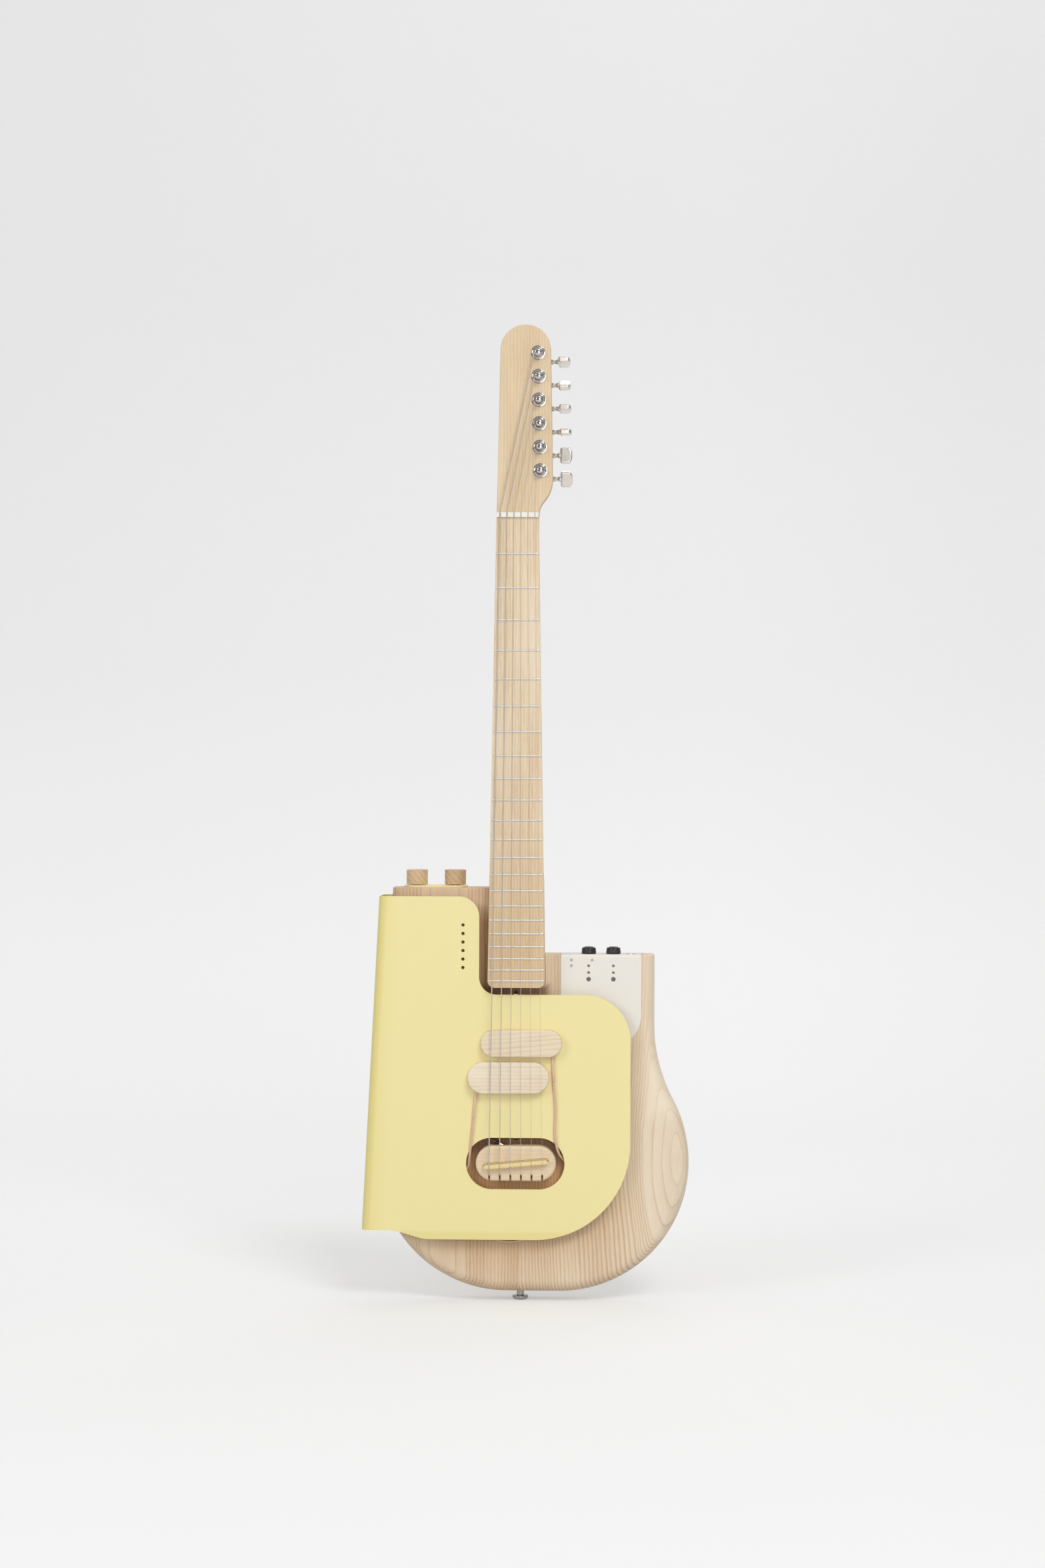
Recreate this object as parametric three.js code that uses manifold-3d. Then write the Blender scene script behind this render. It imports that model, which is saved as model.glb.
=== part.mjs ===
// A travel guitar: a two-piece wood body inside a folded sheet, with a bolted neck, two sliding
// pickups, a wood tailpiece, rear-mounted tuners and a small control panel.
//
// Millimetres, +Z up the neck and +X to the right seen from the front, which faces -Y. The origin
// is the centre of the end pin's flat bottom face, and Y = 0 is the middle of the wood.

import * as THREE from 'three';
import { mergeVertices } from 'three/addons/utils/BufferGeometryUtils.js';
import Module from 'manifold-3d';

const wasm = await Module();
wasm.setup();

// Driving dimensions
const scaleLength = 648;
const fretCount = 22;
const nutZ = 793.2;
const neckX = -3.8;
const stringGauges = [1.17, 0.91, 0.66, 0.43, 0.33, 0.25];
const nutSpread = 35.1;
const saddleSpread = 53.4;
const woodThickness = 40;
const sheetThickness = 2;
const sheetGap = 10;
const boardRise = 9;
const boardThickness = 6;
const leftTopZ = 419.8;
const rightTopZ = 352.2;

// Clearances, and how finely curves are cut into facets
const seat = 0.3;
const overrun = 3;
const chord = 0.15;
const fineChord = 0.08;
const joinDepth = 0.4;

// Levels in Y, from the front to the back
const woodFront = -woodThickness / 2;
const woodBack = woodThickness / 2;
const sheetBack = woodFront - sheetGap;
const sheetFront = sheetBack - sheetThickness;
const boardTop = sheetFront - boardRise;
const neckFront = boardTop + boardThickness;

// Materials
const finish = (color, roughness, metalness = 0) =>
  new THREE.MeshStandardMaterial({ color, roughness, metalness });
const materials = {
  ash: finish(0xdcc7a6, 0.55),
  maple: finish(0xe4cfa8, 0.5),
  paleMaple: finish(0xe6d8c2, 0.6),
  yellow: finish(0xefe2a2, 0.5),
  white: finish(0xebe7df, 0.5),
  black: finish(0x2a2525, 0.45),
  grey: finish(0x5a5652, 0.6),
  brass: finish(0xd8b45a, 0.3, 1),
  chrome: finish(0xd9d9dc, 0.12, 1),
  steel: finish(0xb9b7b4, 0.35, 1),
  nickel: finish(0xcfcdc9, 0.3, 1),
  ivory: finish(0xf0ece2, 0.4),
  cable: finish(0xdeb89e, 0.6),
  board: finish(0x2f6b46, 0.6),
};

const part = new THREE.Group();

// Closed solids and their booleans

function solidFrom(geometry) {
  const bare = geometry.clone();
  bare.deleteAttribute('normal');
  bare.deleteAttribute('uv');
  const merged = mergeVertices(bare);
  const corners = merged.index.array;
  const kept = [];
  for (let i = 0; i < corners.length; i += 3) {
    const [a, b, c] = [corners[i], corners[i + 1], corners[i + 2]];
    if (a !== b && b !== c && a !== c) kept.push(a, b, c);
  }
  const places = merged.attributes.position;
  if (signedVolume(places, kept) < 0) {
    for (let i = 0; i < kept.length; i += 3) [kept[i], kept[i + 1]] = [kept[i + 1], kept[i]];
  }
  return new wasm.Manifold(new wasm.Mesh({
    numProp: 3,
    vertProperties: new Float32Array(places.array),
    triVerts: new Uint32Array(kept),
  }));
}

function signedVolume(places, corners) {
  const [a, b, c] = [new THREE.Vector3(), new THREE.Vector3(), new THREE.Vector3()];
  let total = 0;
  for (let i = 0; i < corners.length; i += 3) {
    a.fromBufferAttribute(places, corners[i]);
    b.fromBufferAttribute(places, corners[i + 1]);
    c.fromBufferAttribute(places, corners[i + 2]);
    total += a.dot(b.cross(c));
  }
  return total;
}

function geometryFrom(solid) {
  const mesh = solid.getMesh();
  const geometry = new THREE.BufferGeometry();
  geometry.setAttribute('position', new THREE.BufferAttribute(new Float32Array(mesh.vertProperties), 3));
  geometry.setIndex(new THREE.BufferAttribute(new Uint32Array(mesh.triVerts), 1));
  return geometry;
}

function piece(name, solid, material) {
  const mesh = new THREE.Mesh(geometryFrom(solid), material);
  mesh.name = name;
  part.add(mesh);
  return mesh;
}

const joined = (solids) => solids.reduce((whole, next) => whole.add(next));
const cutBy = (solid, cutters) => cutters.reduce((rest, next) => rest.subtract(next), solid);

// Outlines, as points in X and Z

const at = (x, z) => new THREE.Vector2(x, z);

function arc(centre, radius, from, to, tolerance = chord) {
  const step = 2 * Math.acos(1 - tolerance / Math.max(radius, 2 * tolerance));
  const facets = Math.max(2, Math.ceil(Math.abs(to - from) / step));
  const points = [];
  for (let i = 0; i <= facets; i++) {
    const angle = from + (to - from) * i / facets;
    points.push(at(centre.x + radius * Math.cos(angle), centre.y + radius * Math.sin(angle)));
  }
  return points;
}

// Corners are [x, z, radius], given anticlockwise or clockwise
function rounded(corners, tolerance = chord) {
  const points = [];
  corners.forEach(([x, z, radius], i) => {
    const here = at(x, z);
    if (!radius) {
      points.push(here);
      return;
    }
    const [beforeX, beforeZ] = corners[(i + corners.length - 1) % corners.length];
    const [afterX, afterZ] = corners[(i + 1) % corners.length];
    const back = at(beforeX, beforeZ).sub(here).normalize();
    const on = at(afterX, afterZ).sub(here).normalize();
    const half = Math.acos(back.dot(on)) / 2;
    const centre = back.clone().add(on).normalize().multiplyScalar(radius / Math.sin(half)).add(here);
    const first = back.clone().multiplyScalar(radius / Math.tan(half)).add(here).sub(centre);
    const last = on.clone().multiplyScalar(radius / Math.tan(half)).add(here).sub(centre);
    const turn = Math.atan2(first.cross(last), first.dot(last));
    points.push(...arc(centre, radius, first.angle(), first.angle() + turn, tolerance));
  });
  return points;
}

function circle(x, z, radius, sides) {
  const points = [];
  for (let i = 0; i < sides; i++) {
    const angle = 2 * Math.PI * (i + 1 / 2) / sides;
    points.push(at(x + radius * Math.cos(angle), z + radius * Math.sin(angle)));
  }
  return points;
}

// A lying stadium: length along X, height along Z
function stadium(x, z, length, height, tolerance = chord) {
  const radius = height / 2;
  const reach = length / 2 - radius;
  return [
    ...arc(at(x + reach, z), radius, -Math.PI / 2, Math.PI / 2, tolerance),
    ...arc(at(x - reach, z), radius, Math.PI / 2, 3 * Math.PI / 2, tolerance),
  ];
}

// Solids from outlines and profiles

// An outline in X and Z as a plate between two levels of Y, with its edges rounded by edge
function plate(outline, front, back, { holes = [], edge = 0, edgeSteps = 3 } = {}) {
  const shape = new THREE.Shape(outline);
  holes.forEach((hole) => shape.holes.push(new THREE.Path(hole)));
  const geometry = new THREE.ExtrudeGeometry(shape, {
    depth: back - front - 2 * edge,
    bevelEnabled: edge > 0,
    bevelThickness: edge,
    bevelSize: edge,
    bevelOffset: -edge,
    bevelSegments: edgeSteps,
  });
  geometry.rotateX(Math.PI / 2);
  geometry.translate(0, back - edge, 0);
  return solidFrom(geometry);
}

function block(x0, x1, y0, y1, z0, z1) {
  const geometry = new THREE.BoxGeometry(x1 - x0, y1 - y0, z1 - z0);
  geometry.translate((x0 + x1) / 2, (y0 + y1) / 2, (z0 + z1) / 2);
  return solidFrom(geometry);
}

function rod(start, end, radius, sides = 12) {
  const along = new THREE.Vector3().subVectors(end, start);
  const geometry = new THREE.CylinderGeometry(radius, radius, along.length(), sides);
  geometry.rotateY(Math.PI / sides);
  const turn = new THREE.Quaternion().setFromUnitVectors(new THREE.Vector3(0, 1, 0), along.clone().normalize());
  geometry.applyQuaternion(turn);
  geometry.translate((start.x + end.x) / 2, (start.y + end.y) / 2, (start.z + end.z) / 2);
  return solidFrom(geometry);
}

const spot = (x, y, z) => new THREE.Vector3(x, y, z);
const rodAlongY = (x, z, radius, y0, y1, sides) => rod(spot(x, y0, z), spot(x, y1, z), radius, sides);
const rodAlongZ = (x, y, radius, z0, z1, sides) => rod(spot(x, y, z0), spot(x, y, z1), radius, sides);

// A turned solid from [radius, height] points, its axis along Z, Y or X through a point
function turned(profile, axis, centre, sides = 16) {
  const points = profile.map(([radius, height]) => new THREE.Vector2(radius, height));
  const geometry = new THREE.LatheGeometry(points, sides);
  if (axis === 'z') geometry.rotateX(Math.PI / 2);
  if (axis === 'x') geometry.rotateZ(-Math.PI / 2);
  geometry.translate(centre.x, centre.y, centre.z);
  return solidFrom(geometry);
}

// Rings of equal point counts, joined in order and capped at both ends
function lofted(rings) {
  const sides = rings[0].length;
  const places = rings.flat().flatMap((point) => [point.x, point.y, point.z]);
  const corners = [];
  for (let ring = 0; ring + 1 < rings.length; ring++) {
    for (let side = 0; side < sides; side++) {
      const a = ring * sides + side;
      const b = ring * sides + (side + 1) % sides;
      corners.push(a, b, b + sides, a, b + sides, a + sides);
    }
  }
  const last = (rings.length - 1) * sides;
  for (let side = 1; side + 1 < sides; side++) {
    corners.push(0, side + 1, side, last, last + side, last + side + 1);
  }
  const geometry = new THREE.BufferGeometry();
  geometry.setAttribute('position', new THREE.Float32BufferAttribute(places, 3));
  geometry.setIndex(corners);
  return solidFrom(geometry);
}

// A tube through points with its own radius at each, turned as little as it can be on the way
function sweptTube(points, radii, sides) {
  const heading = (from, to) => new THREE.Vector3().subVectors(points[to], points[from]).normalize();
  const ends = points.length - 1;
  let normal = null;
  let tangent = null;
  const rings = points.map((point, i) => {
    const before = heading(Math.max(i - 1, 0), Math.max(i, 1));
    const after = heading(Math.min(i, ends - 1), Math.min(i + 1, ends));
    const here = before.add(after).normalize();
    if (normal === null) {
      const guide = Math.abs(here.z) > 1 / 2 ? new THREE.Vector3(1, 0, 0) : new THREE.Vector3(0, 0, 1);
      normal = guide.cross(here).normalize();
    } else {
      normal.applyQuaternion(new THREE.Quaternion().setFromUnitVectors(tangent, here));
    }
    tangent = here;
    const side = new THREE.Vector3().crossVectors(here, normal);
    return Array.from({ length: sides }, (_, k) => {
      const angle = 2 * Math.PI * k / sides;
      return point.clone()
        .addScaledVector(normal, radii[i] * Math.cos(angle))
        .addScaledVector(side, radii[i] * Math.sin(angle));
    });
  });
  return lofted(rings);
}

// Fretboard and string lines, which the neck, nut, strings and body pocket all follow

const board = {
  endZ: 319.8,
  halfWidthAtNut: 21.3,
  halfWidthAtEnd: 29,
  endCorner: 7,
};
const nut = { thickness: 4.9, height: 8.3, slotDepth: 0.9 };
const fret = { width: 2.1, height: 1, inset: 0.8, endBevel: 0.7 };
const saddle = {
  length: 66.5, width: 5.8, height: 6.8, edge: 1.3, bassZ: 140.3, trebleZ: 145.3, plantDepth: 1.2,
};

const boardHalfWidth = (z) => {
  const share = (nutZ - z) / (nutZ - board.endZ);
  return board.halfWidthAtNut + (board.halfWidthAtEnd - board.halfWidthAtNut) * share;
};
const stringShare = (i) => i / (stringGauges.length - 1) - 1 / 2;
const stringXAtNut = (i) => neckX + nutSpread * stringShare(i);
const stringXAtSaddle = (i) => neckX + saddleSpread * stringShare(i);

// The board's outline from its rounded end up to a given height, widened by a margin
function boardOutline(topZ, margin = 0) {
  const low = board.endZ - margin;
  return rounded([
    [neckX - boardHalfWidth(low) - margin, low, board.endCorner],
    [neckX + boardHalfWidth(low) + margin, low, board.endCorner],
    [neckX + boardHalfWidth(topZ) + margin, topZ, 0],
    [neckX - boardHalfWidth(topZ) - margin, topZ, 0],
  ]);
}

function fretboard() {
  const top = boardTop - fret.height;
  const frets = Array.from({ length: fretCount }, (_, i) => {
    const z = nutZ - scaleLength * (1 - 2 ** (-(i + 1) / 12));
    const reach = boardHalfWidth(z) - fret.inset;
    const profile = new THREE.Shape([
      at(neckX - reach, boardTop + joinDepth),
      at(neckX + reach, boardTop + joinDepth),
      at(neckX + reach - fret.endBevel, top),
      at(neckX - reach + fret.endBevel, top),
    ]);
    const geometry = new THREE.ExtrudeGeometry(profile, { depth: fret.width, bevelEnabled: false });
    geometry.translate(0, 0, z - fret.width / 2);
    return solidFrom(geometry);
  });
  return joined([plate(boardOutline(nutZ), boardTop, neckFront), ...frets]);
}

piece('fretboard', fretboard(), materials.maple);

// Neck: headstock, shaft and heel in one piece

const heel = { pocketDepth: 7, topZ: 424, blend: 22 };
const shaft = { depthAtNut: 14.6, depthAtBody: 17.2, sideFlat: 2, roundness: 2.3, squareness: 40, facets: 10 };
const head = {
  thickness: 14, endRadius: 25.4, reach: 195.1, endOffset: 7.5, shoulderOffset: 35.2, shoulderRise: 41,
  throatOffset: 21.9, throatRise: 5, shoulderPull: 23, throatPull: 13,
};
const headBack = neckFront + head.thickness;
const heelBack = woodFront + heel.pocketDepth;

const tuner = { pitch: 23.76, drift: 0.52, firstOffset: 19.9, firstRise: 166.4, headHole: 5 };
const tunerPosts = stringGauges.map((_, i) => ({
  x: neckX + tuner.firstOffset + tuner.drift * i,
  z: nutZ + tuner.firstRise - tuner.pitch * i,
}));

// Half a flattened circle behind a short flat side, between the board's edges at a height
function neckRing(z, depth, power) {
  const half = boardHalfWidth(z);
  const edge = neckFront + shaft.sideFlat;
  const ring = [spot(neckX + half, neckFront, z)];
  for (let i = 0; i <= shaft.facets; i++) {
    const angle = Math.PI * i / shaft.facets;
    const across = Math.sign(Math.cos(angle)) * Math.abs(Math.cos(angle)) ** (2 / power);
    const back = Math.abs(Math.sin(angle)) ** (2 / power);
    ring.push(spot(neckX + half * across, edge + (depth - shaft.sideFlat) * back, z));
  }
  ring.push(spot(neckX - half, neckFront, z));
  return ring;
}

function neckShaft() {
  const heelDepth = heelBack - neckFront;
  return lofted([
    neckRing(board.endZ, heelDepth, shaft.squareness),
    neckRing(heel.topZ, heelDepth, shaft.squareness),
    neckRing(heel.topZ + heel.blend, shaft.depthAtBody, shaft.roundness),
    neckRing(nutZ - heel.blend, shaft.depthAtNut, shaft.roundness),
    neckRing(nutZ, head.thickness, shaft.squareness),
    neckRing(nutZ + nut.thickness, head.thickness, shaft.squareness),
  ]);
}

// What lies outside the rounded corners of the heel, on one side
function heelCornerCutter(side) {
  const radius = board.endCorner;
  const edgeX = neckX + side * boardHalfWidth(board.endZ);
  const centre = at(edgeX - side * radius, board.endZ + radius);
  const round = arc(centre, radius, -Math.PI / 2, side > 0 ? 0 : -Math.PI);
  const outer = edgeX + side * overrun;
  const low = board.endZ - overrun;
  return plate([...round, at(outer, centre.y), at(outer, low), at(centre.x, low)],
    neckFront - overrun, heelBack + overrun);
}

function headstock() {
  const shoulderX = neckX + head.shoulderOffset;
  const shoulderZ = nutZ + head.shoulderRise;
  const throatX = neckX + head.throatOffset;
  const throatZ = nutZ + head.throatRise;
  const shoulder = new THREE.CubicBezierCurve(
    at(shoulderX, shoulderZ),
    at(shoulderX, shoulderZ - head.shoulderPull),
    at(throatX, throatZ + head.throatPull),
    at(throatX, throatZ),
  ).getPoints(10);
  const outline = [
    at(neckX - board.halfWidthAtNut, nutZ),
    at(neckX + board.halfWidthAtNut, nutZ),
    ...shoulder.reverse(),
    ...arc(at(neckX + head.endOffset, nutZ + head.reach - head.endRadius), head.endRadius, 0, Math.PI,
      fineChord),
  ];
  return plate(outline, neckFront, headBack);
}

const neckPlate = {
  width: 50, height: 26, thickness: 1.6, corner: 4, screwRadius: 2.1, screwClearance: 0.3,
  screwInset: 6, screwReach: 11, headRadius: 4.2, headHeight: 1.5, aboveHeel: 3,
};
const neckPlateLow = board.endZ + neckPlate.aboveHeel;
const neckScrews = [-1, 1].flatMap((sideX) => [-1, 1].map((sideZ) => ({
  x: neckX + sideX * (neckPlate.width / 2 - neckPlate.screwInset),
  z: neckPlateLow + neckPlate.height / 2 + sideZ * (neckPlate.height / 2 - neckPlate.screwInset),
})));
const neckScrewHole = neckPlate.screwRadius + neckPlate.screwClearance;
const neckScrewTip = heelBack - neckPlate.screwReach;

function neck() {
  const postHoles = tunerPosts.map((post) =>
    rodAlongY(post.x, post.z, tuner.headHole, neckFront - overrun, headBack + overrun, 14));
  const screwHoles = neckScrews.map((screw) =>
    rodAlongY(screw.x, screw.z, neckScrewHole, neckScrewTip - seat, heelBack + overrun, 8));
  return cutBy(neckShaft().add(headstock()),
    [heelCornerCutter(-1), heelCornerCutter(1), ...postHoles, ...screwHoles]);
}

piece('neck', neck(), materials.maple);

// Nut, with a slot for each string

const nutTop = neckFront - nut.height;
const stringYAtNut = (i) => nutTop + nut.slotDepth - seat - stringGauges[i] / 2;

function nutPiece() {
  const blank = block(neckX - board.halfWidthAtNut, neckX + board.halfWidthAtNut, nutTop, neckFront,
    nutZ, nutZ + nut.thickness);
  const slots = stringGauges.map((gauge, i) => {
    const half = gauge / 2 + seat;
    const x = stringXAtNut(i);
    return block(x - half, x + half, nutTop - overrun, nutTop + nut.slotDepth, nutZ - overrun,
      nutZ + nut.thickness + overrun);
  });
  return cutBy(blank, slots);
}

piece('nut', nutPiece(), materials.ivory);

// Wood body: two boards glued edge to edge at X = 0, the left one set higher

const bout = { radius: 131.5, centreX: 12.7, halfFlat: 26.6, flareRadius: 165 };
const bodyEdge = { rightX: 135.6, leftLean: 0.054, roundover: 12 };
const endPin = {
  discRadius: 7.95, discHeight: 4, rim: 2.3, stemRadius: 3.65, stemLength: 6.1, screwRadius: 2,
  screwLength: 26,
};
const bodyBottomZ = endPin.discHeight + endPin.stemLength;
const boutZ = bodyBottomZ + bout.radius;
const leanAngle = Math.atan(bodyEdge.leftLean);
const leftEdge = at(
  bout.centreX - bout.halfFlat - bout.radius * Math.cos(leanAngle),
  boutZ + bout.radius * Math.sin(leanAngle),
);
const woodLeftX = (z) => leftEdge.x + (z - leftEdge.y) * bodyEdge.leftLean;

function bodyOutline(topZ) {
  const left = at(bout.centreX - bout.halfFlat, boutZ);
  const right = at(bout.centreX + bout.halfFlat, boutZ);
  const flareX = bodyEdge.rightX + bout.flareRadius;
  const reach = bout.radius + bout.flareRadius;
  const flare = at(flareX, right.y + Math.sqrt(reach ** 2 - (flareX - right.x) ** 2));
  const meeting = Math.atan2(flare.y - right.y, flare.x - right.x);
  return [
    at(woodLeftX(topZ), topZ),
    ...arc(left, bout.radius, Math.PI - leanAngle, 3 * Math.PI / 2),
    ...arc(right, bout.radius, -Math.PI / 2, meeting),
    ...arc(flare, bout.flareRadius, meeting + Math.PI, Math.PI).slice(1),
    at(bodyEdge.rightX, topZ),
  ];
}

const knobRow = { leftX: -106.6, spacing: 39, y: 0 };
const knobPlate = { length: 64.8, width: 24, thickness: 2 };
const potCavity = { length: 61, width: 21, depth: 16 };
const knobRowX = knobRow.leftX + knobRow.spacing / 2;
const panel = {
  leftX: 40.8, rightX: 122.2, lowZ: 257.5, corner: 35, thickness: 1.2, bend: 2.6, topDepth: 37,
  proudOfWood: 0.3,
};
const electronics = { rim: 3.6, height: 68.2, depth: 36 };
const panelTop = rightTopZ + panel.proudOfWood;
const panelFront = woodFront - panel.thickness;
const panelBackEdge = woodFront + panel.topDepth;

function bodyHalves() {
  const blank = plate(bodyOutline(leftTopZ + bodyEdge.roundover + overrun), woodFront, woodBack,
    { edge: bodyEdge.roundover, edgeSteps: 4 });
  const far = scaleLength;
  const pocket = plate(boardOutline(leftTopZ + overrun, seat), woodFront - overrun, heelBack);
  const screws = neckScrews.map((screw) =>
    rodAlongY(screw.x, screw.z, neckScrewHole, woodFront - overrun, woodBack + overrun, 8));
  const pinHole = rodAlongZ(0, 0, endPin.screwRadius + seat, bodyBottomZ - overrun,
    bodyBottomZ + endPin.screwLength + seat, 8);
  const shared = [pocket, pinHole, ...screws];

  const left = blank.intersect(block(-far, 0, -far, far, -far, leftTopZ));
  const potRoom = block(knobRowX - potCavity.length / 2, knobRowX + potCavity.length / 2,
    knobRow.y - potCavity.width / 2, knobRow.y + potCavity.width / 2,
    leftTopZ - potCavity.depth, leftTopZ + overrun);
  piece('body_left_half', cutBy(left, [...shared, potRoom]), materials.ash);

  const right = blank.intersect(block(0, far, -far, far, -far, rightTopZ));
  const room = block(panel.leftX + electronics.rim, panel.rightX - electronics.rim,
    woodFront - overrun, woodFront + electronics.depth, rightTopZ - electronics.height, rightTopZ + overrun);
  const bendInside = panel.bend - panel.thickness;
  const rebate = block(panel.leftX - seat, panel.rightX + seat, woodFront - overrun,
    panelBackEdge + seat, panelTop - panel.thickness, rightTopZ + overrun);
  const bendRelief = block(panel.leftX - seat, panel.rightX + seat, woodFront - overrun,
    woodFront + bendInside, panelTop - panel.thickness - bendInside, rightTopZ + overrun);
  piece('body_right_half', cutBy(right, [...shared, room, rebate, bendRelief]), materials.ash);
}

bodyHalves();

// End pin under the glue line

const pinProfile = [
  [0, 0], [endPin.discRadius - endPin.rim, 0], [endPin.discRadius - endPin.rim / 3, endPin.rim / 3],
  [endPin.discRadius, endPin.rim], [endPin.discRadius, endPin.discHeight],
  [endPin.stemRadius, endPin.discHeight], [endPin.stemRadius, bodyBottomZ],
  [endPin.screwRadius, bodyBottomZ], [endPin.screwRadius, bodyBottomZ + endPin.screwLength],
  [0, bodyBottomZ + endPin.screwLength],
];
piece('end_pin', turned(pinProfile, 'z', spot(0, 0, 0), 16), materials.steel);

// Neck plate and its screws, one on the back of the body

function neckPlatePiece() {
  const low = neckPlateLow;
  const half = neckPlate.width / 2;
  const outline = rounded([
    [neckX - half, low, neckPlate.corner],
    [neckX + half, low, neckPlate.corner],
    [neckX + half, low + neckPlate.height, neckPlate.corner],
    [neckX - half, low + neckPlate.height, neckPlate.corner],
  ]);
  const back = woodBack + neckPlate.thickness;
  const screws = neckScrews.flatMap((screw) => [
    rodAlongY(screw.x, screw.z, neckPlate.screwRadius, neckScrewTip, woodBack + joinDepth, 8),
    rodAlongY(screw.x, screw.z, neckPlate.headRadius, woodBack + joinDepth,
      back + neckPlate.headHeight, 12),
  ]);
  return joined([plate(outline, woodBack, back), ...screws]);
}

piece('neck_plate', neckPlatePiece(), materials.steel);

// Bent shell: one sheet folded twice along the body's left edge

const shell = {
  sideGap: 12.37, foldLean: 0.0501, bendRadius: 9, topZ: 411.2, tabRightX: -41.6, tabCorner: 20.5,
  throatCorner: 17.7, midZ: 312.3, rightX: 111.5, shoulderCorner: 46, bottomZ: 65, bellyCorner: 97,
  hipRightX: -97, hipLeftX: -126.5, hipZ: 73.7, hipCorner: 45, backReach: 72, backCorner: 21,
};
const cutout = { x: -4.5, z: 142, length: 99.4, height: 51.9 };
const ventRow = { inset: 16.4, drop: 71.7, pitch: 8.6, count: 6, radius: 1.7 };
const standoff = { radius: 3.5, peek: 0.8, offset: -0.7, cornerInset: 34, edgeInset: 18 };

const foldTopX = woodLeftX(shell.topZ) - shell.sideGap;
const foldX = (z) => foldTopX + (z - shell.topZ) * shell.foldLean;

function foldedChannel() {
  const front = sheetFront;
  const back = woodBack + sheetThickness;
  const outer = shell.bendRadius;
  const inner = shell.bendRadius - sheetThickness;
  const reach = shell.rightX - foldTopX + shell.bellyCorner;
  const half = Math.PI / 2;
  const profile = [
    at(reach, front),
    ...arc(at(outer, front + outer), outer, -half, -2 * half, fineChord),
    ...arc(at(outer, back - outer), outer, 2 * half, half, fineChord),
    at(shell.backReach, back),
    at(shell.backReach, back - sheetThickness),
    ...arc(at(outer, back - outer), inner, half, 2 * half, fineChord),
    ...arc(at(outer, front + outer), inner, -2 * half, -half, fineChord),
    at(reach, front + sheetThickness),
  ];
  const length = shell.topZ + shell.bellyCorner;
  const geometry = new THREE.ExtrudeGeometry(new THREE.Shape(profile), { depth: length, bevelEnabled: false });
  const along = new THREE.Vector3(shell.foldLean, 0, 1).normalize();
  const across = new THREE.Vector3(0, 1, 0).cross(along);
  geometry.applyMatrix4(new THREE.Matrix4().makeBasis(across, new THREE.Vector3(0, 1, 0), along));
  geometry.translate(foldX(0), 0, 0);
  return solidFrom(geometry);
}

function frontOutline() {
  const farLeft = foldX(0) - shell.bendRadius;
  return rounded([
    [farLeft, shell.topZ, 0],
    [farLeft, shell.hipZ, 0],
    [shell.hipLeftX, shell.hipZ, shell.hipCorner],
    [shell.hipRightX, shell.bottomZ, shell.hipCorner],
    [shell.rightX, shell.bottomZ, shell.bellyCorner],
    [shell.rightX, shell.midZ, shell.shoulderCorner],
    [shell.tabRightX, shell.midZ, shell.throatCorner],
    [shell.tabRightX, shell.topZ, shell.tabCorner],
  ]);
}

function backOutline() {
  const farLeft = foldX(0) - shell.bendRadius;
  const lowRight = foldX(shell.hipZ) + shell.backReach - shell.backCorner / 3;
  const highRight = foldX(shell.topZ) + shell.backReach - shell.backCorner / 3;
  return rounded([
    [farLeft, shell.topZ, 0],
    [farLeft, shell.hipZ, 0],
    [lowRight, shell.hipZ, shell.backCorner],
    [highRight, shell.topZ, shell.backCorner],
  ]);
}

function bentShell() {
  const front = plate(frontOutline(), sheetFront - overrun, 0);
  const back = plate(backOutline(), 0, woodBack + sheetThickness + overrun);
  const sheet = foldedChannel().intersect(front.add(back));
  const window = plate(stadium(cutout.x, cutout.z, cutout.length, cutout.height, fineChord),
    sheetFront - overrun, sheetBack + overrun);
  const vents = Array.from({ length: ventRow.count }, (_, i) =>
    rodAlongY(shell.tabRightX - ventRow.inset, shell.topZ - ventRow.drop + ventRow.pitch * i,
      ventRow.radius, sheetFront - overrun, sheetBack + overrun, 10));
  const inset = standoff.radius - standoff.peek;
  const places = [
    at(neckX + standoff.offset, cutout.z + cutout.height / 2 + inset),
    at(neckX + standoff.offset, shell.midZ - inset),
    at(shell.rightX - standoff.edgeInset, panel.lowZ - standoff.edgeInset),
    at(shell.rightX - shell.bellyCorner, shell.bottomZ + standoff.cornerInset),
  ];
  const standoffs = places.map((place) =>
    rodAlongY(place.x, place.y, standoff.radius, sheetBack - joinDepth, woodFront, 14));
  return joined([cutBy(sheet, [window, ...vents]), ...standoffs]);
}

piece('bent_shell', bentShell(), materials.yellow);

// Tailpiece: a wood block with a brass saddle, an anchor bar and a socket for the pickup plug

const tail = {
  x: neckX, z: 142.7, length: 81, height: 35.4, rise: 6, edge: 2.6, slotWidth: 1.8, slotHeight: 6.7,
  channelLength: 58, channelWall: 6, channelHeight: 7.5,
};
const tailLow = tail.z - tail.height / 2;
const slotTop = tailLow + tail.slotHeight;
const anchor = { rise: 1.5, height: 2.8, depth: 4.6 };
const anchorLow = tailLow + anchor.rise;
const socket = { x: -12.4, width: 9, topDrop: 4.9, length: 9.5, height: 7 };
const socketHigh = tail.z + tail.height / 2 - socket.topDrop;
const socketLow = socketHigh - socket.length;
const tailFront = sheetFront - tail.rise;
const saddleTop = tailFront - saddle.height;
const saddleLean = Math.atan2(saddle.trebleZ - saddle.bassZ, saddleSpread);
const saddleZ = (i) => saddle.bassZ + (saddle.trebleZ - saddle.bassZ) * (stringShare(i) + 1 / 2);
const channelFront = tailFront + tail.channelWall;
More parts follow.
